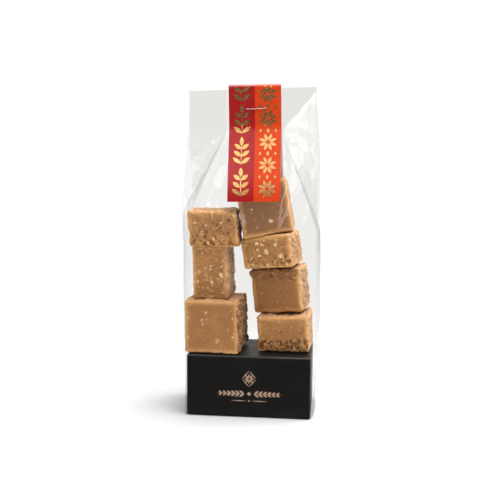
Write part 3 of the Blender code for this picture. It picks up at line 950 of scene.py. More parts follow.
def label_path(steps=72, fold_steps=10):
    """The label's middle line from the front leg's end over the fold to the back leg's end: its
    y and z, its outward directions and its length so far.

    Each leg keeps a gap to the film's roof and strip, and the fold is a half circle.
    """
    offset = LABEL_GAP + LABEL_THICKNESS / 2
    slope = (BAG_HIGH.y - TOP_HALF_THICKNESS) / (PINCH_HEIGHT - SHOULDER_HEIGHT)
    strip_offset = TOP_HALF_THICKNESS + offset
    start = LABEL_FOLD - strip_offset
    z = np.linspace(LABEL_BOTTOM, start, steps)
    roof = TOP_HALF_THICKNESS + (PINCH_HEIGHT - z) * slope + offset * math.hypot(1.0, slope)
    depth = smooth_max(roof - label_tuck(z), strip_offset, 2.0 * offset)
    turn = np.linspace(0.0, math.pi, fold_steps + 2)[1:-1]
    y = np.concatenate([-depth, -depth[-1] * np.cos(turn), depth[::-1]])
    z = np.concatenate([z, start + depth[-1] * np.sin(turn), z[::-1]])
    along = np.stack([np.gradient(y), np.gradient(z)])
    along /= np.linalg.norm(along, axis=0)
    length = np.concatenate([[0.0], np.cumsum(np.hypot(np.diff(y), np.diff(z)))])
    return y, z, np.stack([-along[1], along[0]]), length


def label_points(across, along, lift):
    """Places on the label: across its width, along its length and lifted off its middle line.

    The middle line is followed by its length, the lift goes along its outward direction, the
    legs bow out a little in the middle of their width, and the whole leans about its centre.
    """
    y, z, outward, length = label_path()
    out_y, out_z = np.interp(along, length, outward[0]), np.interp(along, length, outward[1])
    scale = np.hypot(out_y, out_z)
    from_end = np.minimum(along, length[-1] - along)
    bow = 0.30 * (1.0 - (across / (LABEL_WIDTH / 2)) ** 2) * fall(from_end, 20, 44)
    curl = 0.35 * fall(from_end, 0.0, 12) * (0.4 + across / LABEL_WIDTH)
    rise = lift + bow + curl
    place_y = np.interp(along, length, y) + rise * out_y / scale
    place_z = np.interp(along, length, z) + rise * out_z / scale
    middle = (LABEL_BOTTOM + LABEL_FOLD) / 2
    cos, sin = math.cos(LABEL_LEAN), math.sin(LABEL_LEAN)
    x = LABEL_CENTRE_X + across * cos - (place_z - middle) * sin
    return np.stack([x, place_y, middle + across * sin + (place_z - middle) * cos], axis=-1)


def label_slab():
    """The label as a closed slab: its outer and its inner side as grids over the same places
    across and along, and a strip of quads round the rim. The print is on the outer side: the
    last result is 1 on the faces without it."""
    length = label_path()[3][-1]
    across, along = np.meshgrid(np.linspace(-0.5, 0.5, LABEL_COLUMNS) * LABEL_WIDTH,
                                np.linspace(0.0, length, LABEL_ROWS))
    half = LABEL_THICKNESS / 2
    points = [label_points(across, along, lift).reshape(-1, 3) for lift in (half, -half)]
    count = across.size
    faces = grid_quads(*across.shape)
    index = np.arange(count).reshape(across.shape)
    rim = np.concatenate([index[0, :], index[1:, -1], index[-1, -2::-1], index[-2:0:-1, 0]])
    after = np.roll(rim, -1)
    edge = np.stack([rim, rim + count, after + count, after], axis=-1)
    every = np.concatenate([faces, faces[:, ::-1] + count, edge])
    cut = np.repeat([0.0, 1.0], [len(faces), len(faces) + len(edge)])
    return np.concatenate(points), every, np.tile(across.ravel(), 2) * MM, cut


def placed(outline, angle, x, y):
    """An outline turned by an angle about its start, then moved to x, y."""
    c, s = math.cos(angle), math.sin(angle)
    return outline @ np.array([[c, s], [-s, c]]) + [x, y]


def leaf(length, width, angle, x, y, points=14):
    """Outline of a leaf that starts at x, y, pointed at both ends: half its width times the sine
    of the way along, to the power 0.9."""
    t = np.linspace(0.0, 1.0, points)
    side = width / 2 * np.sin(math.pi * t) ** 0.9
    upper = np.stack([t * length, side], axis=-1)
    lower = np.stack([t[::-1] * length, -side], axis=-1)[1:-1]
    return placed(np.concatenate([upper, lower]), angle, x, y)


def diamond(length, width, angle, x, y):
    """Outline of a diamond that starts at x, y."""
    corners = [[0, 0], [length / 2, -width / 2], [length, 0], [length / 2, width / 2]]
    return placed(np.array(corners), angle, x, y)


def sprig(x, y, pairs, step, length, width):
    """A straight stem with pairs of leaves that lean upwards and a single leaf at its tip."""
    shapes = [leaf(pairs * step, 0.5, UPWARDS, x, y)]
    for number in range(pairs):
        size = length * (1.0 - 0.25 * number / pairs)
        for lean in (math.radians(38), math.radians(142)):
            shapes.append(leaf(size, width, lean, x, y + (number + 0.35) * step))
    return shapes + [leaf(length * 0.9, width, UPWARDS, x, y + pairs * step - 0.2 * step)]


def rosette(x, y, petals, radius, width, turn=0.0):
    """Leaves set round a centre like a flower, each starting a little way out."""
    out = 0.16 * radius
    angles = [turn + 2 * math.pi * number / petals for number in range(petals)]
    return [leaf(radius - out, width, angle, x + out * math.cos(angle), y + out * math.sin(angle))
            for angle in angles]


def prisms(shapes, thickness, place):
    """Thin solid plates from flat outlines, each a fan of triangles from its middle on top and
    below and a strip round its edge. An outline that runs the wrong way round is turned over, so
    that all faces point outward. place(u, v, lift) carries the plates onto a surface."""
    points, faces, start = [], [], 0
    for outline in shapes:
        after = np.roll(outline, -1, axis=0)
        if (outline[:, 0] * after[:, 1] - after[:, 0] * outline[:, 1]).sum() < 0.0:
            outline = outline[::-1]
        count = len(outline)
        ring = np.concatenate([outline, outline.mean(axis=0)[None, :]])
        flat = np.concatenate([ring, ring])
        lift = np.repeat([thickness, 0.0], count + 1)
        points.append(place(flat[:, 0], flat[:, 1], lift))
        a = np.arange(count)
        b = np.roll(a, -1)
        low = count + 1
        top = np.stack([a, b, np.full(count, count)], axis=-1)
        under = np.stack([b + low, a + low, np.full(count, count + low)], axis=-1)
        wall = np.concatenate([np.stack([a, a + low, b + low], -1), np.stack([a, b + low, b], -1)])
        faces.append(np.concatenate([top, under, wall]) + start)
        start += 2 * low
    return np.concatenate(points), np.concatenate(faces)


def label_ornament():
    """Outlines on the label: leaf sprigs up the left half, flowers and diamonds up the right."""
    length = label_path()[3][-1]
    quarter = LABEL_WIDTH / 4
    shapes = []
    for y in np.arange(2.0, length - 14, 19.5):
        shapes += sprig(-quarter, y, 3, 4.6, 6.6, 2.5)
    for y in np.arange(7.5, length - 5, 14.6):
        shapes += rosette(quarter, y, 8, 5.6, 1.9, math.pi / 8)
        for side in (-1, 1):
            shapes.append(diamond(2.4, 1.5, UPWARDS, quarter + side * 4.6, y + 6.1))
        shapes.append(diamond(3.4, 1.9, UPWARDS, quarter, y + 5.6))
    return [s for s in shapes if s[:, 1].min() > 0.4 and s[:, 1].max() < length - 0.4]


def base_ornament():
    """Outlines on the base's front: a flower in a diamond of four slim bars, a garland of leaf
    pairs on both sides of a small diamond, and below it a smaller diamond between two slim bars."""
    wide, high = 4.3, 4.9
    shapes = rosette(ORNAMENT_X, FLOWER_Z, 8, 3.0, 0.95)
    for side, along in ((-1, math.pi), (1, 0.0)):
        for up in (-1, 1):
            slant = math.atan2(-up * high, side * wide)
            shapes.append(leaf(6.5, 0.55, slant, ORNAMENT_X, FLOWER_Z + up * high))
        shapes.append(leaf(17.6, 0.4, along, ORNAMENT_X + side * 2.4, GARLAND_Z))
        for number in range(6):
            start = ORNAMENT_X + side * (3.0 + 2.7 * number)
            for up in (-1, 1):
                lean = math.radians(34) * up * side + along
                shapes.append(leaf(3.6 - 0.25 * number, 1.15, lean, start, GARLAND_Z))
    for size, z in ((2.6, GARLAND_Z), (1.3, RULE_Z)):
        shapes.append(diamond(size, size, 0.0, ORNAMENT_X - size / 2, z))
    for side, along in ((1, 0.0), (-1, math.pi)):
        shapes.append(leaf(9.5, 0.55, along, ORNAMENT_X + side * 1.6, RULE_Z))
    return shapes


def on_label(u, v, lift):
    """Places on the label's outer side: u across, v along, lifted off it."""
    return label_points(u, v, LABEL_THICKNESS / 2 + lift)


def on_base_front(u, v, lift):
    """Places on the front of the card base: u to the right, v up, lifted towards the front."""
    return np.stack([u, BASE_LOW.y - lift, v], axis=-1)


# ---------------------------------------------------------------- node trees

class Value:
    """A node's output that takes part in sums: each +, - and * adds a Math node."""

    def __init__(self, graph, socket):
        self.graph = graph
        self.socket = socket

    def __add__(self, other):
        return self.graph.calc("ADD", self, other)

    def __sub__(self, other):
        return self.graph.calc("SUBTRACT", self, other)

    def __rsub__(self, other):
        return self.graph.calc("SUBTRACT", other, self)

    def __mul__(self, other):
        return self.graph.calc("MULTIPLY", self, other)


class Graph:
    """The node tree of a material, a world or a group, with short ways to add nodes to it."""

    def __init__(self, owner):
        self.owner = owner
        if not isinstance(owner, bpy.types.NodeTree):
            owner.use_nodes = True
        self.tree = getattr(owner, "node_tree", owner)
        self.tree.nodes.clear()

    def node(self, kind, inputs=None, **settings):
        """Add a node. An input is given a value, a colour, or another node's output."""
        made = self.tree.nodes.new("ShaderNode" + kind)
        for key, value in settings.items():
            setattr(made, key, value)
        for key, value in (inputs or {}).items():
            socket = made.inputs[key]
            if isinstance(value, Value):
                self.tree.links.new(value.socket, socket)
            else:
                socket.default_value = (*value, 1.0) if socket.type == "RGBA" else value
        return made

    def out(self, kind, inputs=None, output=0, **settings):
        """One output of a new node."""
        return Value(self, self.node(kind, inputs, **settings).outputs[output])

    def outs(self, kind, inputs=None, **settings):
        """All outputs of a new node by name."""
        made = self.node(kind, inputs, **settings)
        return {socket.name: Value(self, socket) for socket in made.outputs}

    def calc(self, operation, first, second=0.0, clamp=False):
        """The result of a Math node."""
        return self.out("Math", {0: first, 1: second}, operation=operation, use_clamp=clamp)

    def most(self, first, second):
        """The higher of two values."""
        return self.calc("MAXIMUM", first, second)

    def vector(self, operation, inputs, output=0):
        """A result of a Vector Math node: the vector, or 1 for the number."""
        return self.out("VectorMath", inputs, output, operation=operation)

    def blend(self, factor, first, second, kind="MIX"):
        """The colour of a Mix node, from the first to the second."""
        inputs = {0: factor, 6: first, 7: second}
        return self.out("Mix", inputs, 2, data_type="RGBA", blend_type=kind)

    def shade(self, factor, colour, tint):
        """A colour multiplied by a tint where the factor is 1."""
        return self.blend(factor, colour, tint, "MULTIPLY")

    def rise(self, value, low, high):
        """0 below low, 1 above high and smooth between."""
        return self.out("MapRange", {0: value, 1: low, 2: high}, interpolation_type="SMOOTHSTEP")

    def spread(self, value, first, second, low=0.3, high=0.7):
        """From the first number to the second while a value goes from low to high."""
        return self.out("MapRange", {0: value, 1: low, 2: high, 3: first, 4: second})

    def noise(self, vector, scale, detail=3.0, roughness=0.55, output=0):
        """The value of a Noise Texture, or 1 for its colour."""
        inputs = {"Vector": vector, "Scale": scale, "Detail": detail, "Roughness": roughness}
        return self.out("TexNoise", inputs, output)

    def bump(self, height, distance):
        """A normal bent by a height from 0 to 1 times a distance in millimetres."""
        return self.out("Bump", {"Height": height, "Distance": distance * MM, "Strength": 1.0})

    def attribute(self, name):
        """Numbers that a mesh carries."""
        return self.out("Attribute", output="Fac", attribute_name=name)

    def ray(self, kind):
        """1 for a kind of ray and 0 for others."""
        return self.out("LightPath", output=f"Is {kind} Ray")

    def axes(self, vector):
        """The three parts of a vector."""
        return tuple(self.outs("SeparateXYZ", {0: vector}).values())

    def millimetres(self):
        """Object coordinates in millimetres, so that every scale is one over a millimetre."""
        return self.vector("SCALE", {0: self.out("TexCoord", output="Object"), "Scale": 1.0 / MM})

    def group(self, name, **inputs):
        """The outputs of a node group with its own values."""
        return self.outs("Group", inputs, node_tree=pattern_group(name))

    def principled(self, colour, roughness, inputs):
        """A Principled shader."""
        return self.out("BsdfPrincipled", {"Base Color": colour, "Roughness": roughness, **inputs})

    def finish(self, surface, kind="Material"):
        """Link a shader to a new output node, and give back the material or world."""
        output = self.tree.nodes.new("ShaderNodeOutput" + kind)
        self.tree.links.new(surface.socket, output.inputs["Surface"])
        return self.owner


def material_graph(name):
    """The empty tree of a new material, and its coordinates."""
    g = Graph(bpy.data.materials.new(name))
    return g, g.millimetres()


def speckle_pattern(g, given):
    """Specks: scattered points of which a share is kept, each with its own radius and an
    outline bent by noise. Gives the mask and a random number for each speck."""
    noise = g.noise(given["Vector"], 1.6, 2.0, 0.5, 1)
    centred = g.vector("SUBTRACT", {0: noise, 1: (0.5, 0.5, 0.5)})
    bend = g.vector("SCALE", {0: centred, "Scale": given["Bend"]})
    moved = g.vector("ADD", {0: given["Vector"], 1: bend})
    cells = g.outs("TexVoronoi", {"Vector": moved, "Scale": given["Scale"]}, distance="MANHATTAN")
    keep, wide, tone = list(g.outs("SeparateColor", {0: cells["Color"]}).values())[:3]
    kept = g.calc("LESS_THAN", keep, given["Share"])
    inside = g.calc("DIVIDE", cells["Distance"], given["Radius"] * (wide + 0.35))
    return g.spread(inside, 0.0, 1.0, 1.0, 0.75) * kept, tone


def streak_pattern(g, given):
    """Fine torn streaks along one axis: a groove mask and a crest mask, in patches. The vector is
    squeezed along the streaks' axis, so that noise read at it is stretched there."""
    bend = g.noise(given["Vector"], 0.7, 2.0, 0.5, 1)
    moved = g.vector("MULTIPLY_ADD", {0: bend, 1: (1.2, 1.2, 1.2), 2: given["Vector"]})
    squeezed = g.vector("MULTIPLY", {0: moved, 1: given["Squeeze"]})
    ridges = g.noise(squeezed, given["Scale"], 1.5, 0.6)
    patches = g.rise(g.noise(given["Vector"], 0.22, 2.0), 0.42, 0.62)
    return (1.0 - g.rise(ridges, 0.34, 0.44)) * patches, g.rise(ridges, 0.56, 0.66) * patches


def fibre_pattern(g, given):
    """Card: long faint fibres and a fine felt, as a height from 0 to 1 and as a mottle."""
    vector = given["Vector"]
    turn, scale = (0.3, 0.5, 0.2), (2.2, 2.2, 0.45)
    along = g.out("Mapping", {"Vector": vector, "Rotation": turn, "Scale": scale})
    return g.noise(along, 1.6) * 0.6 + g.noise(vector, 6.0, 2.0) * 0.4, g.noise(vector, 0.12)


# Node groups: the pattern, its inputs (None for a vector) and its outputs.
PATTERNS = {
    "fudge_speckle": (speckle_pattern,
                      {"Vector": None, "Scale": 0.5, "Share": 0.4, "Radius": 0.2, "Bend": 0.35},
                      ("Mask", "Random")),
    "fudge_streaks": (streak_pattern,
                      {"Vector": None, "Squeeze": None, "Scale": 1.0},
                      ("Groove", "Crest")),
    "card_fibre": (fibre_pattern, {"Vector": None}, ("Height", "Mottle")),
}


def pattern_group(name):
    """The node group of a pattern, made when it is first asked for."""
    if name in bpy.data.node_groups:
        return bpy.data.node_groups[name]
    pattern, inputs, outputs = PATTERNS[name]
    tree = bpy.data.node_groups.new(name, "ShaderNodeTree")
    for key, value in inputs.items():
        kind = "NodeSocketVector" if value is None else "NodeSocketFloat"
        socket = tree.interface.new_socket(key, in_out="INPUT", socket_type=kind)
        if value is not None:
            socket.default_value = value
    for key in outputs:
        tree.interface.new_socket(key, in_out="OUTPUT", socket_type="NodeSocketFloat")
    g = Graph(tree)
    source, result = tree.nodes.new("NodeGroupInput"), tree.nodes.new("NodeGroupOutput")
    given = {key: Value(g, source.outputs[key]) for key in inputs}
    for key, value in zip(outputs, pattern(g, given)):
        tree.links.new(value.socket, result.inputs[key])
    return tree


# ---------------------------------------------------------------- materials

def grey(level):
    """A colour with three equal parts."""
    return (level,) * 3


def scaled(colour, share):
    """A colour at a share of its brightness."""
    return [part * share for part in colour]


def fudge_material(settings):
    """Waxy caramel fudge: soft mottle, cream nut specks, pinholes darkened by painted shade, fine
    streaks with painted shade in their grooves, an edge band and ridges paled partly by wear and
    partly as painted highlight, painted haze on right and top faces, painted shade in gaps, and
    cream nuts and reddish nut skins where the meshes mark them."""
    g, vector = material_graph("peanut_fudge")
    marks = {key: g.attribute(key) for key in FUDGE_VALUES}
    cloud = g.rise(g.noise(vector, 0.13), 0.30, 0.70) + marks["tone"]
    body = g.blend(cloud, settings.dark, settings.light)
    body = g.shade(marks["tone"] * -0.5, body, (0.68, 0.60, 0.50))
    mottle = g.rise(g.noise(vector, 1.3, 5.0, 0.65), 0.40, 0.75)
    body = g.blend(mottle * 0.22, body, settings.pale)
    up = g.group("fudge_streaks", Vector=vector, Squeeze=(1.0, 1.0, 0.17), Scale=1.10)
    flat = g.group("fudge_streaks", Vector=vector, Squeeze=(0.24, 1.0, 1.0), Scale=1.15)
    groove, crest = (up[key] * marks["upright"] + flat[key] * marks["level"]
                     for key in ("Groove", "Crest"))
    # Edge band: partly wear and partly painted highlight.
    body = g.blend(marks["edge"] * 0.80, body, settings.golden)
    # Ridges and streak crests paled as painted highlight, partly wear.
    body = g.blend(g.most(marks["crest"] * 0.50, crest * 0.50), body, settings.pale)
    # Painted haze on right and top faces.
    body = g.blend(marks["bloom"] * 0.36, body, settings.haze_colour)
    # Painted shade in hollows, in streak grooves and on shaded right sides.
    body = g.shade(g.most(marks["cavity"] * 0.72, groove * 0.72), body, (0.50, 0.40, 0.31))
    many, few = (marks["coarse"] * 0.22 + least for least in (0.27, 0.10))
    small = g.group("fudge_speckle", Vector=vector, Scale=0.56, Share=few, Radius=0.30)
    fine = g.group("fudge_speckle", Vector=vector, Scale=1.05, Share=many, Radius=0.32)
    holes = g.group("fudge_speckle", Vector=vector, Scale=0.44, Share=0.26, Radius=0.16, Bend=0.4)
    holes = holes["Mask"]
    speck = g.most(small["Mask"] * 0.85, fine["Mask"] * 0.70)
    nut_colour = g.blend(g.rise(g.noise(vector, 1.1), 0.3, 0.7), settings.nut, settings.nut_shade)
    colour = g.blend(g.most(marks["nut"], speck), body, nut_colour)
    # Pinholes darkened by painted shade.
    colour = g.shade(holes * 0.9, colour, (0.20, 0.13, 0.09))
    patchy = g.rise(g.noise(vector, 1.0), 0.35, 0.6)
    peel_colour = g.blend(patchy, settings.peel, scaled(settings.peel, 0.35))
    colour = g.blend(marks["peel"] * 0.9, colour, peel_colour)
    grain = g.noise(vector, 1.9, 6.0, 0.65)
    height = grain * 0.75 + g.noise(vector, 5.5) * 0.2 - holes * 0.8 + speck * 0.15
    height = height + (crest - groove) * 0.6
    return g.finish(g.principled(colour, g.spread(grain, 0.42, 0.60), {
        "Normal": g.bump(height, 0.60), "Specular IOR Level": 0.50, "Subsurface Weight": 0.10,
        "Subsurface Radius": (1.0, 0.5, 0.22), "Subsurface Scale": 1.0 * MM}))


def film_material(settings):
    """Thin clear film: light goes straight through, a little dimmer where the film is slanted,
    and a mirror over it takes a share that grows towards edge on by the facing's fifth power."""
    g, vector = material_graph("clear_film")
    normal = g.bump(g.noise(vector, 0.09, 2.0) * 0.8 + g.noise(vector, 0.35, 2.0) * 0.12, 0.9)
    facing = g.out("LayerWeight", {"Blend": 0.5, "Normal": normal}, "Facing")
    share = g.calc("ADD", g.calc("POWER", facing, 5.0) * 0.5, settings.mirror, True)
    tint = (1.0, 0.997, 0.988)
    panel, pleat = scaled(tint, settings.clearness), scaled(tint, settings.flap_clearness)
    clear = g.blend(g.attribute("flap"), panel, pleat)
    slanted = g.blend(g.calc("POWER", facing, 3.0), clear, scaled(tint, 0.86))
    through = g.out("BsdfTransparent", {"Color": slanted})
    blur = settings.roughness
    scuff = g.spread(g.noise(vector, 0.2, 4.0), blur * 0.6, blur * 1.6, 0.0, 1.0)
    mirror = g.principled(grey(0.97), scuff, {"Metallic": 1.0, "Normal": normal})
    return g.finish(g.out("MixShader", {0: share, 1: through, 2: mirror}))


def black_card_material(settings):
    """Black coated card: faint fibres, a soft sheen, and pale wear along the folds, where two of
    the three distances from the middle come near their limits."""
    g, vector = material_graph("black_card")
    fibre = g.group("card_fibre", Vector=vector)
    half, middle = (BASE_HIGH - BASE_LOW) / 2, (BASE_HIGH + BASE_LOW) / 2
    centred = g.vector("SUBTRACT", {0: vector, 1: tuple(middle)})
    near = [g.rise(g.calc("ABSOLUTE", part), limit - 1.1, limit - 0.1)
            for part, limit in zip(g.axes(centred), half)]
    pairs = g.most(near[0] * near[1], g.most(near[1] * near[2], near[0] * near[2]))
    wear = pairs * (g.rise(g.noise(vector, 0.5, 4.0), 0.40, 0.75) * 0.6 + 0.25)
    ground = g.blend(fibre["Mottle"], settings.black, scaled(settings.black, 1.5))
    colour = g.blend(wear, ground, (0.035, 0.035, 0.032))
    return g.finish(g.principled(colour, g.spread(fibre["Mottle"], 0.38, 0.48), {
        "Normal": g.bump(fibre["Height"], 0.03), "Specular IOR Level": 0.35}))


def label_material(settings):
    """Printed satin card: one red on each half, faint fibres, and pale cut edges."""
    g, vector = material_graph("red_card")
    fibre = g.group("card_fibre", Vector=vector)
    right = g.calc("GREATER_THAN", g.attribute("across"), 0.0)
    print_colour = g.blend(right, settings.crimson, settings.orange)
    mottle = g.rise(fibre["Mottle"], 0.3, 0.7)
    print_colour = g.shade(mottle * 0.35, print_colour, (0.82, 0.78, 0.78))
    colour = g.blend(g.attribute("cut"), print_colour, (0.78, 0.62, 0.56))
    return g.finish(g.principled(colour, g.spread(fibre["Mottle"], 0.20, 0.27), {
        "Normal": g.bump(fibre["Height"], 0.02), "Specular IOR Level": 0.58 - right * 0.30}))


def foil_material(name, colour, roughness, metal=1.0):
    """Hot-stamped foil: a metal with a faint grain from the card below and small dull spots."""
    g, vector = material_graph(name)
    dull = g.rise(g.noise(vector, 1.5, 4.0), 0.45, 0.75)
    tone = g.blend(dull * 0.5, colour, scaled(colour, 0.7))
    return g.finish(g.principled(tone, g.spread(dull, roughness, roughness + 0.15, 0.0, 1.0), {
        "Metallic": metal, "Normal": g.bump(g.group("card_fibre", Vector=vector)["Height"], 0.02)}))


def steel_material():
    """Galvanised wire: bright metal with fine scratches along the staple's crown."""
    g, vector = material_graph("staple_wire")
    scratches = g.noise(g.out("Mapping", {"Vector": vector, "Scale": (0.6, 9.0, 9.0)}), 1.2, 4.0)
    tone = g.blend(g.rise(scratches, 0.4, 0.7), (0.62, 0.61, 0.59), (0.86, 0.85, 0.82))
    return g.finish(g.principled(tone, g.spread(scratches, 0.18, 0.36), {
        "Metallic": 1.0, "Normal": g.bump(scratches, 0.02)}))


def floor_material(settings):
    """Pale matt floor with a very faint grain, that fades to plain white away from the pack.
    Mirrors see it dimmer in front of the pack, as if dark card lay there."""
    g, vector = material_graph("pale_floor")
    pale = g.blend(g.noise(vector, 0.02, 2.0), grey(settings.floor), grey(settings.floor * 0.985))
    in_front = 1.0 - g.rise(g.axes(vector)[1], -60.0, 60.0)
    glossy, camera = g.ray("Glossy"), g.ray("Camera")
    colour = g.shade(glossy, pale, grey(settings.floor_seen * 0.85))
    colour = g.shade(glossy * in_front, colour, grey(settings.floor_mirror))
    colour = g.shade(camera, colour, grey(settings.floor_seen))
    shader = g.principled(colour, 0.9, {"Specular IOR Level": 0.0})
    fade = camera * g.rise(g.vector("LENGTH", {0: vector}, 1), 90.0, 380.0)
    white = g.out("Emission", {0: grey(1.0), 1: 1.0})
    return g.finish(g.out("MixShader", {0: fade, 1: shader, 2: white}))


# ---------------------------------------------------------------- settings

def colour_setting(name, description, default):
    """A colour property."""
    return FloatVectorProperty(name=name, description=description, default=default, subtype="COLOR",
                               size=3, min=0.0, max=1.0)


def share_setting(name, description, default):
    """A property from 0 to 1."""
    return FloatProperty(name=name, description=description, default=default, subtype="FACTOR",
                         min=0.0, max=1.0)


def number_setting(name, description, default, low, high, kind="NONE"):
    """A number property, with its least and its most and its kind of unit."""
    return FloatProperty(name=name, description=description, default=default, unit=kind,
                         min=low, max=high)


class FudgeSettings(PropertyGroup):
    """Colours and shape of the fudge."""

    dark: colour_setting("Darker body", "Fudge in its darker places", (0.335, 0.139, 0.035))
    light: colour_setting("Lighter body", "Fudge in its lighter places", (0.425, 0.186, 0.049))
    # Pale also stands on ridges and crumbs as painted highlight.
    pale: colour_setting("Pale edge", "Worn edges and waxy patches", (0.70, 0.385, 0.140))
    nut: colour_setting("Nut", "Cut peanut", (0.84, 0.63, 0.36))
    nut_shade: colour_setting("Nut shade", "Darker side of a cut peanut", (0.68, 0.44, 0.19))
    peel: colour_setting("Nut skin", "Red-brown skin of the nuts", (0.46, 0.17, 0.045))
    # The edge colour is partly wear and partly painted highlight.
    golden: colour_setting("Edges", "Smooth paler edges of the pieces", (0.72, 0.375, 0.125))
    # Colour of the painted haze on right and top faces.
    haze_colour: colour_setting("Painted haze", "Sugary bloom on cut faces", (0.80, 0.62, 0.45))
    edge_radius: number_setting("Edge radius", "Rounding of the edges", 1.8 * MM, 0.3 * MM,
                                4 * MM, "LENGTH")
    divisions: IntProperty(name="Divisions", description="Grid steps along each edge", default=96,
                           min=8, max=110)


class FilmSettings(PropertyGroup):
    """How the clear film looks."""

    mirror: share_setting("Mirror", "Share mirrored face on", 0.021)
    clearness: share_setting("Clearness", "Share of the light let through", 0.937)
    flap_clearness: share_setting("Clearness of the pleats", "The same for the side pleats", 0.982)
    roughness: share_setting("Roughness", "Blur of the film's mirror", 0.09)


class CardSettings(PropertyGroup):
    """Colours of the card base, the label and their foil."""

    black: colour_setting("Black card", "Card base", (0.0034, 0.0034, 0.0028))
    crimson: colour_setting("Crimson", "Left half of the label", (0.285, 0.0035, 0.004))
    orange: colour_setting("Orange red", "Right half of the label", (0.49, 0.042, 0.007))
    gold: colour_setting("Gold foil", "Ornament on the label", (0.92, 0.53, 0.20))
    copper: colour_setting("Copper foil", "Ornament on the base", (0.62, 0.42, 0.30))
    foil_height: number_setting("Foil height", "How far foil stands up", 0.05 * MM, 0.01 * MM,
                                0.2 * MM, "LENGTH")


class StageSettings(PropertyGroup):
    """Camera, floor and light."""

    camera_place: FloatVectorProperty(
        name="Camera place", description="Where the camera stands",
        default=(0.0516, -0.5044, 0.1664), subtype="TRANSLATION", unit="LENGTH")
    camera_turn: FloatVectorProperty(
        name="Camera turn", description="Pitch, roll and yaw from level along +Y",
        default=tuple(math.radians(a) for a in (-7.56, -0.40, 6.04)), subtype="EULER")
    lens: number_setting("Lens", "Focal length in millimetres", 59.76, 10, 300)
    floor: share_setting("Floor", "Floor's lightness", 0.9)
    floor_seen: share_setting("Floor seen", "Share of it that the camera sees", 0.56)
    floor_mirror: share_setting("Floor in mirrors", "Floor's lightness in reflections", 0.08)
    backdrop: number_setting("Backdrop", "Brightness behind and above", 0.82, 0, 5)
    dim_front: number_setting("Dim front", "Brightness low on the camera's side", 0.16, 0, 5)
    strips: number_setting("Strips", "Brightness of the two strips in reflections", 2.5, 0, 20)
    window: number_setting("Window", "Brightness of the window in reflections", 6.0, 0, 20)
    top_light: number_setting("Top light", "Power of the softbox above", 9.0, 0, 200, "POWER")
    side_light: number_setting("Side light", "Power of the softbox at the right", 1.45, 0, 200,
                               "POWER")


class FudgeBagSettings(PropertyGroup):
    """All the settings of the pack."""

    fudge: PointerProperty(type=FudgeSettings)
    film: PointerProperty(type=FilmSettings)
    card: PointerProperty(type=CardSettings)
    stage: PointerProperty(type=StageSettings)


# ---------------------------------------------------------------- stage

def make_world(settings):
    """White for the camera. Diffuse rays see a bright dome, dim low on the camera's side and
    brighter overhead and to the right. Mirrors see dark cloth ahead of the pack with two tall
    strips of light and a window high on the left, and a pale wall behind."""
    g = Graph(bpy.data.worlds.new("studio"))
    direction = g.out("TexCoord", output="Generated")
    x, y, z = g.axes(direction)
    forward = y * -1.0
    dim = g.rise(forward, -0.15, 0.45) * (1.0 - g.rise(z, 0.25, 0.70))
    overhead, right = g.rise(z, 0.1, 0.9) * 0.5 + 1.0, g.rise(x, -0.8, 0.8) * 0.5 + 0.7
    dome = overhead * right * settings.backdrop * (1.0 - dim) + dim * settings.dim_front
    aside = g.calc("ABSOLUTE", g.calc("DIVIDE", x, g.most(forward, 0.05)))
    strips = g.rise(aside, 0.60, 0.75) * (1.0 - g.rise(aside, 0.95, 1.20))
    strips = strips * g.rise(forward, 0.1, 0.3) * settings.strips
    facing = g.vector("DOT_PRODUCT", {0: direction, 1: WINDOW_WAY}, 1)
    window = g.rise(facing, WINDOW_EDGE, WINDOW_FULL) * settings.window
    cloth = dim * (settings.dim_front - 0.8) + (g.rise(z, 0.35, 0.85) * 0.15 + 0.80)
    mirrored = cloth + g.most(strips, window)
    glossy = g.ray("Glossy")
    lit = g.out("Background", {0: grey(1.0), 1: mirrored * glossy + dome * (1.0 - glossy)})
    white = g.out("Background", {0: grey(1.0), 1: 1.0})
    seen = g.out("MixShader", {0: g.ray("Camera"), 1: lit, 2: white})
    bpy.context.scene.world = g.finish(seen, "World")


def linked(name, data):
    """An object with its data, in the scene."""
    item = bpy.data.objects.new(name, data)
    bpy.context.scene.collection.objects.link(item)
    return item


def area_light(name, place, size, power):
    """A softbox that faces the pack a little below its middle."""
    data = bpy.data.lights.new(name, "AREA")
    data.shape = "RECTANGLE"
    data.size, data.size_y = size
    data.energy = power
    way = Vector((0.0, 0.0, CAD_HIGH.z * 0.4)) - Vector(place)
    turn = way.to_track_quat("-Z", "Y").to_matrix().to_4x4()
    linked(name, data).matrix_world = Matrix.Translation(place) @ turn


def make_camera(settings):
    """The camera: from level along +Y it is turned by yaw, pitch and roll."""
    data = bpy.data.cameras.new("camera")
    data.lens = settings.lens
    data.sensor_width = 36.0
    data.clip_start, data.clip_end = 0.01, 20.0
    pitch, roll, yaw = (Matrix.Rotation(a, 4, axis) for a, axis in zip(settings.camera_turn, "XYZ"))
    level = Matrix.Rotation(math.pi / 2, 4, "X")
    item = linked("camera", data)
    item.matrix_world = Matrix.Translation(settings.camera_place) @ yaw @ pitch @ roll @ level
    bpy.context.scene.camera = item


def make_floor(settings):
    """A wide floor just under the film."""
    corners = np.array([[-1, -1], [1, -1], [1, 1], [-1, 1]]) * FLOOR_HALF
    points = np.insert(corners, 2, FILM_UNDERSIDE - FLOOR_DROP, axis=1) * MM
    mesh = bpy.data.meshes.new("floor")
    mesh.from_pydata(points.tolist(), [], [(0, 1, 2, 3)])
    mesh.materials.append(floor_material(settings))
    item = linked("floor", mesh)


# ---------------------------------------------------------------- operators

def require(condition, message):
    """Stop with a message unless the condition holds."""
    if not condition:
        raise RuntimeError(message)


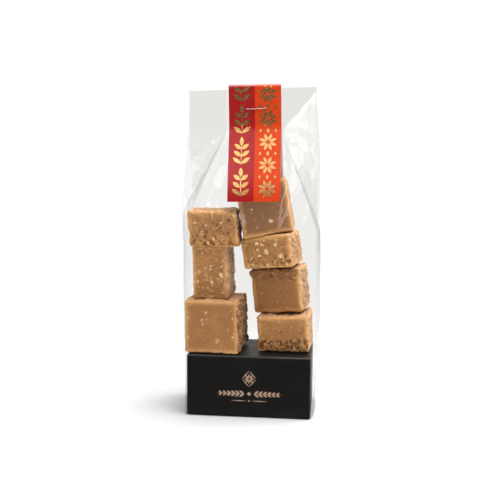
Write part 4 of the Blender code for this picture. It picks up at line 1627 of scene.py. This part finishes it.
class PackOperator:
    """What the operators share: each builds its part from the settings."""

    def execute(self, context):
        self.build(context.scene.fudge_bag)
        return {"FINISHED"}


class FUDGEBAG_OT_stage(PackOperator, Operator):
    """Make the camera, the floor, the lights and the backdrop"""

    bl_idname = "fudgebag.stage"
    bl_label = "Stage"

    def build(self, settings):
        stage = settings.stage
        bpy.context.scene.view_settings.view_transform = "Standard"
        make_camera(stage)
        make_world(stage)
        make_floor(stage)
        area_light("top_softbox", TOP_SOFTBOX_PLACE, TOP_SOFTBOX_SIZE, stage.top_light)
        area_light("right_softbox", RIGHT_SOFTBOX_PLACE, RIGHT_SOFTBOX_SIZE, stage.side_light)
        require(bpy.context.scene.camera is not None, "the camera was not made")


class FUDGEBAG_OT_film(PackOperator, Operator):
    """Make the clear film of the bag"""

    bl_idname = "fudgebag.film"
    bl_label = "Clear film"

    def build(self, settings):
        points, flap, faces = film_surface()
        require(np.isfinite(points).all(), "the film has points that are not numbers")
        material = film_material(settings.film)
        film = mesh_piece("film", points, faces, material, FILM_ANGLE, {"flap": flap})
        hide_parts("bag")


class FUDGEBAG_OT_fudge(PackOperator, Operator):
    """Make the seven pieces of peanut fudge"""

    bl_idname = "fudgebag.fudge"
    bl_label = "Fudge pieces"

    def build(self, settings):
        lattice, quads = box_lattice(settings.fudge.divisions)
        material = fudge_material(settings.fudge)
        for piece in FUDGE_PIECES:
            points, values = fudge_surface(piece, lattice, settings.fudge.edge_radius / MM)
            require(points[:, 2].min() > BASE_HIGH.z, f"{piece.name} sinks into the card base")
            item = mesh_piece(piece.name, points, quads, material, values=values)


class FUDGEBAG_OT_base(PackOperator, Operator):
    """Finish the card base and put its foil ornament on"""

    bl_idname = "fudgebag.base"
    bl_label = "Card base"

    def build(self, settings):
        card = settings.card
        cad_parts["card_base"].material_slots[0].material = black_card_material(card)
        points, faces = prisms(base_ornament(), card.foil_height / MM, on_base_front)
        copper = foil_material("copper_foil", card.copper, 0.40, 0.35)
        foil = mesh_piece("base_foil", points, faces, copper, FOIL_ANGLE)


class FUDGEBAG_OT_label(PackOperator, Operator):
    """Make the folded label and its foil ornament"""

    bl_idname = "fudgebag.label"
    bl_label = "Label"

    def build(self, settings):
        card = settings.card
        points, faces, across, cut = label_slab()
        label = mesh_piece("label_card", points, faces, label_material(card), LABEL_ANGLE,
                           {"across": across}, {"cut": cut})
        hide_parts("label")
        points, faces = prisms(label_ornament(), card.foil_height / MM, on_label)
        gold = foil_material("gold_foil", card.gold, 0.22)
        foil = mesh_piece("label_foil", points, faces, gold, FOIL_ANGLE)


class FUDGEBAG_OT_staple(PackOperator, Operator):
    """Finish the staple"""

    bl_idname = "fudgebag.staple"
    bl_label = "Staple"

    def build(self, settings):
        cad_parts["staple"].material_slots[0].material = steel_material()


class FUDGEBAG_PT_panel(Panel):
    """Buttons that build the pack, and its settings"""

    bl_idname = "FUDGEBAG_PT_panel"
    bl_label = "Fudge Bag"
    bl_space_type = "VIEW_3D"
    bl_region_type = "UI"
    bl_category = "Fudge Bag"

    def draw(self, context):
        for operator in OPERATORS:
            self.layout.operator(operator.bl_idname)
        settings = context.scene.fudge_bag
        for group in (settings.stage, settings.film, settings.fudge, settings.card):
            box = self.layout.box()
            for key in group.__annotations__:
                box.prop(group, key)


OPERATORS = (FUDGEBAG_OT_stage, FUDGEBAG_OT_film, FUDGEBAG_OT_fudge, FUDGEBAG_OT_base,
             FUDGEBAG_OT_label, FUDGEBAG_OT_staple)
CLASSES = (FudgeSettings, FilmSettings, CardSettings, StageSettings, FudgeBagSettings, *OPERATORS,
           FUDGEBAG_PT_panel)


def register():
    for item in CLASSES:
        bpy.utils.register_class(item)
    bpy.types.Scene.fudge_bag = PointerProperty(type=FudgeBagSettings)


def unregister():
    del bpy.types.Scene.fudge_bag
    for item in reversed(CLASSES):
        bpy.utils.unregister_class(item)


def main():
    register()
    bpy.ops.fudgebag.stage()
    bpy.ops.fudgebag.film()
    bpy.ops.fudgebag.fudge()
    bpy.ops.fudgebag.base()
    bpy.ops.fudgebag.label()
    bpy.ops.fudgebag.staple()


if __name__ == "__main__":
    main()
